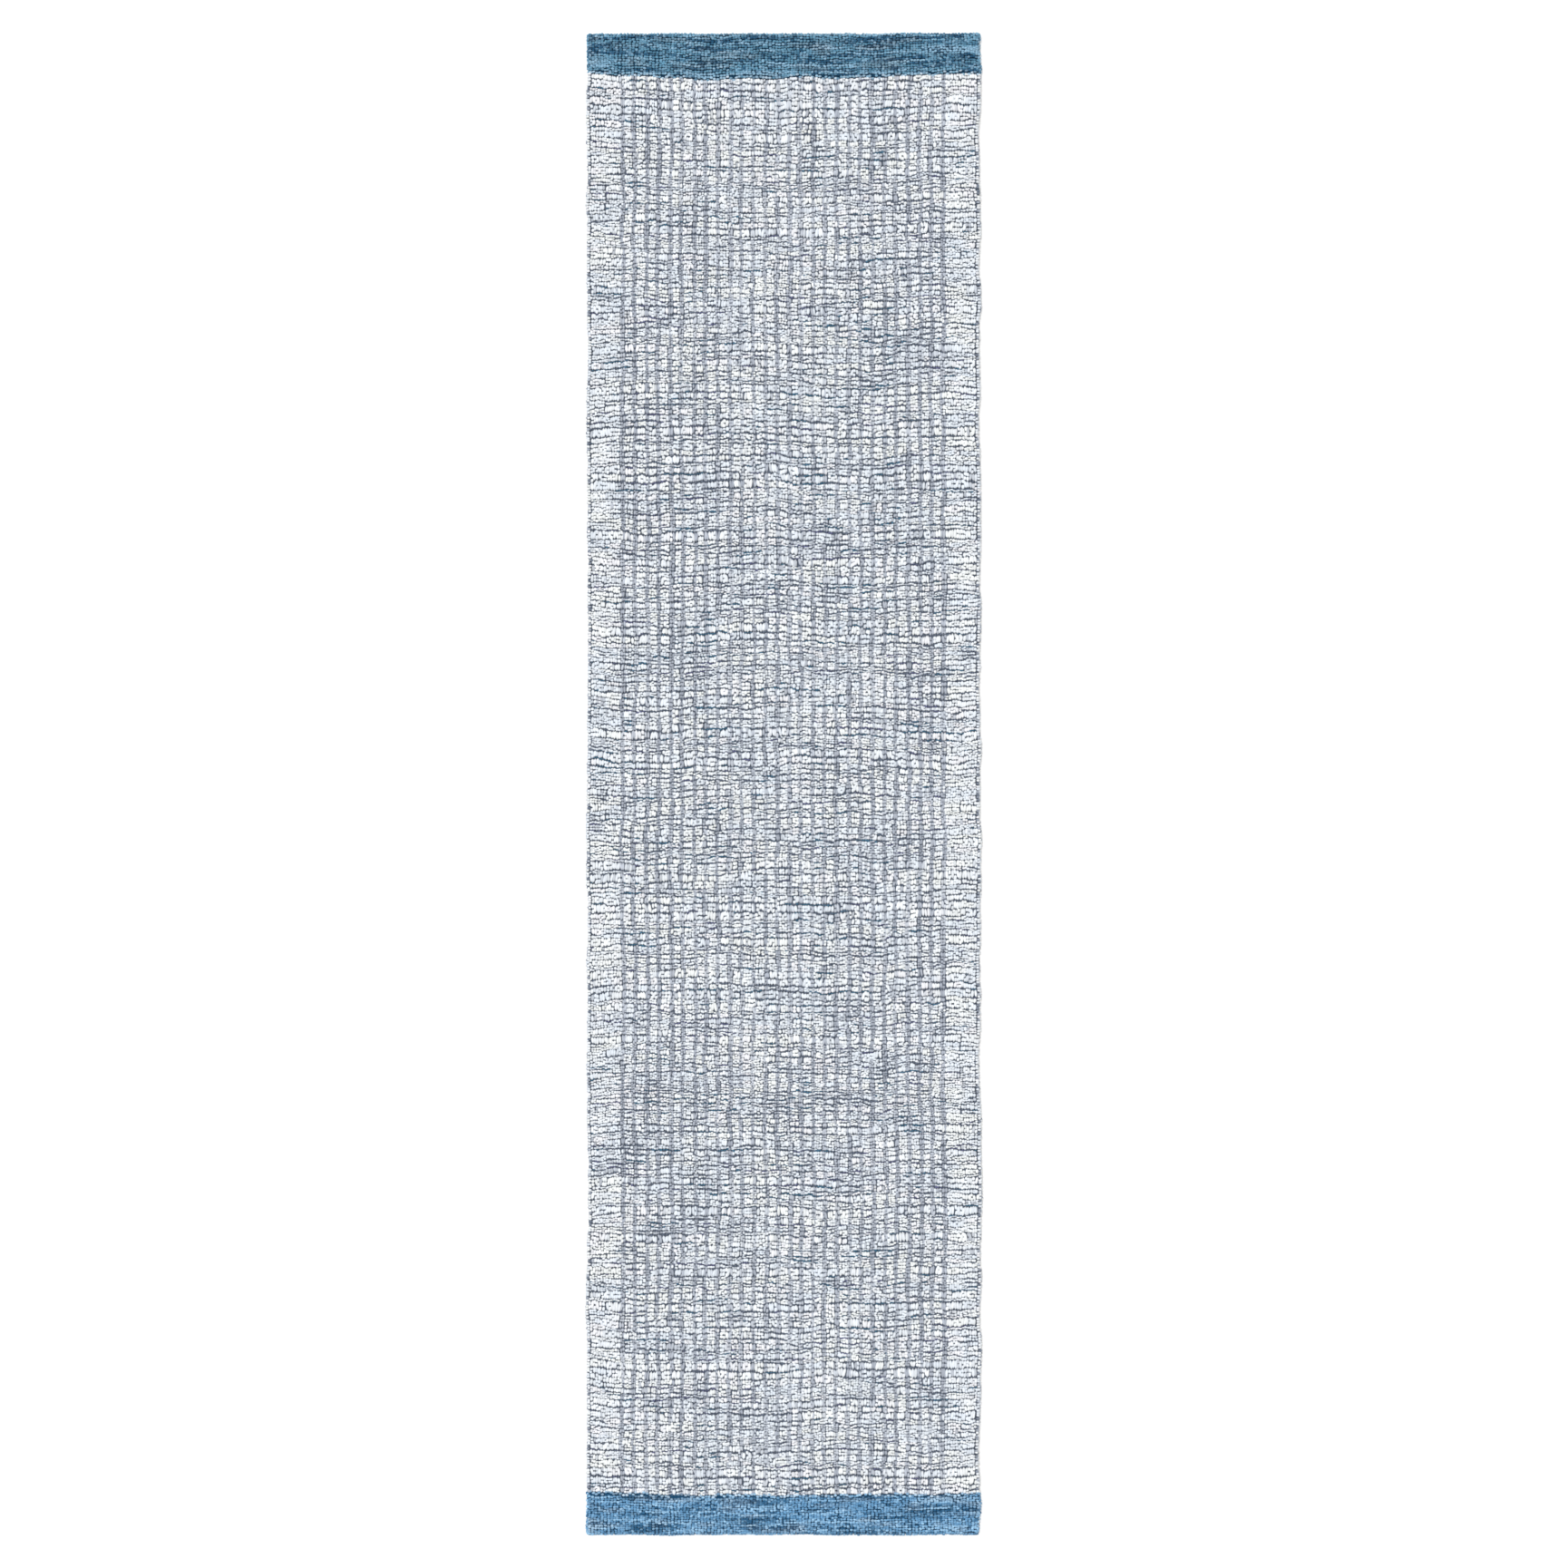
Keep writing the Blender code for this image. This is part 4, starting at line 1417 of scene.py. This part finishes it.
class RUG_OT_stage(Operator):
    """Set up the pale floor, the soft studio light and the camera straight above"""

    bl_idname = "rug.stage"
    bl_label = "Stage"

    def execute(self, context):
        stage = context.scene.rug_stage
        self.make_floor(stage)
        self.make_light(context, stage)
        self.make_camera(context, stage)
        return {"FINISHED"}

    def make_floor(self, stage):
        bpy.ops.mesh.primitive_grid_add(x_subdivisions=4, y_subdivisions=4, size=40.0)
        floor = bpy.context.object
        floor.name = "studio_floor"
        material, _, shader = empty_material("Studio Floor")
        shader.inputs["Base Color"].default_value = (*stage.floor_colour, 1.0)
        shader.inputs["Roughness"].default_value = 1.0
        shader.inputs["Specular IOR Level"].default_value = 0.0
        shader.inputs["Emission Color"].default_value = (1.0, 1.0, 1.0, 1.0)
        shader.inputs["Emission Strength"].default_value = 0.12
        floor.data.materials.append(material)

    def make_light(self, context, stage):
        world = bpy.data.worlds.new("Studio")
        world.use_nodes = True
        tree = world.node_tree
        background = tree.nodes["Background"]
        background.inputs["Color"].default_value = (1.0, 1.0, 1.0, 1.0)
        # The backdrop is as pale as the floor, but lights the rug only by the ambient strength.
        seen = tree.nodes.new("ShaderNodeLightPath").outputs["Is Camera Ray"]
        more = math_node(tree, "MULTIPLY", seen, 1.0 - stage.ambient)
        tree.links.new(math_node(tree, "ADD", more, stage.ambient), background.inputs["Strength"])
        context.scene.world = world
        light = bpy.data.lights.new("key_light", "SUN")
        light.angle = math.radians(24)
        light.energy = stage.key_strength
        lamp = bpy.data.objects.new("key_light", light)
        lamp.rotation_euler = (math.radians(-14), math.radians(-18), 0.0)
        context.scene.collection.objects.link(lamp)
        context.scene.view_settings.view_transform = "Standard"

    def make_camera(self, context, stage):
        data = bpy.data.cameras.new("camera")
        data.lens = stage.lens
        data.sensor_width = 36.0
        camera = bpy.data.objects.new("camera", data)
        distance = stage.framed_length * data.lens / data.sensor_width
        camera.location = (0.0, 0.0, PILE_TOP + distance)
        data.clip_end = 100.0
        context.scene.collection.objects.link(camera)
        context.scene.camera = camera


PIECE_OPERATORS = (
    RUG_OT_root_bed,
    RUG_OT_ground_loops,
    RUG_OT_stripe_loops,
    RUG_OT_edge_rows,
    RUG_OT_end_bands,
    RUG_OT_backing_cloth,
    RUG_OT_canvas,
    RUG_OT_binding_tapes,
    RUG_OT_label,
    RUG_OT_stage,
)


class RUG_PT_panel(Panel):
    """Builds the runner rug piece by piece"""

    bl_idname = "RUG_PT_panel"
    bl_label = "Runner Rug"
    bl_space_type = "VIEW_3D"
    bl_region_type = "UI"
    bl_category = "Rug"

    def draw(self, context):
        layout = self.layout
        scene = context.scene
        for title, settings in (
            ("Pile", scene.rug_pile),
            ("Yarn", scene.rug_yarn),
            ("Backing", scene.rug_backing),
            ("Stage", scene.rug_stage),
        ):
            box = layout.box()
            box.label(text=title)
            for name in settings.bl_rna.properties.keys():
                if name not in {"rna_type", "name"}:
                    box.prop(settings, name)
        column = layout.column(align=True)
        for operator in PIECE_OPERATORS:
            column.operator(operator.bl_idname)


SETTINGS = {
    "rug_pile": RugPileSettings,
    "rug_yarn": RugYarnSettings,
    "rug_backing": RugBackingSettings,
    "rug_stage": RugStageSettings,
}


def register():
    for settings in SETTINGS.values():
        bpy.utils.register_class(settings)
    for operator in PIECE_OPERATORS:
        bpy.utils.register_class(operator)
    bpy.utils.register_class(RUG_PT_panel)
    for name, settings in SETTINGS.items():
        setattr(bpy.types.Scene, name, PointerProperty(type=settings))


def unregister():
    for name in SETTINGS:
        delattr(bpy.types.Scene, name)
    bpy.utils.unregister_class(RUG_PT_panel)
    for operator in reversed(PIECE_OPERATORS):
        bpy.utils.unregister_class(operator)
    for settings in reversed(SETTINGS.values()):
        bpy.utils.unregister_class(settings)


def main():
    register()
    bpy.ops.rug.root_bed()
    bpy.ops.rug.ground_loops()
    bpy.ops.rug.stripe_loops()
    bpy.ops.rug.edge_rows()
    bpy.ops.rug.end_bands()
    bpy.ops.rug.backing_cloth()
    bpy.ops.rug.canvas()
    bpy.ops.rug.binding_tapes()
    bpy.ops.rug.label()
    bpy.ops.rug.stage()


if __name__ == "__main__":
    main()
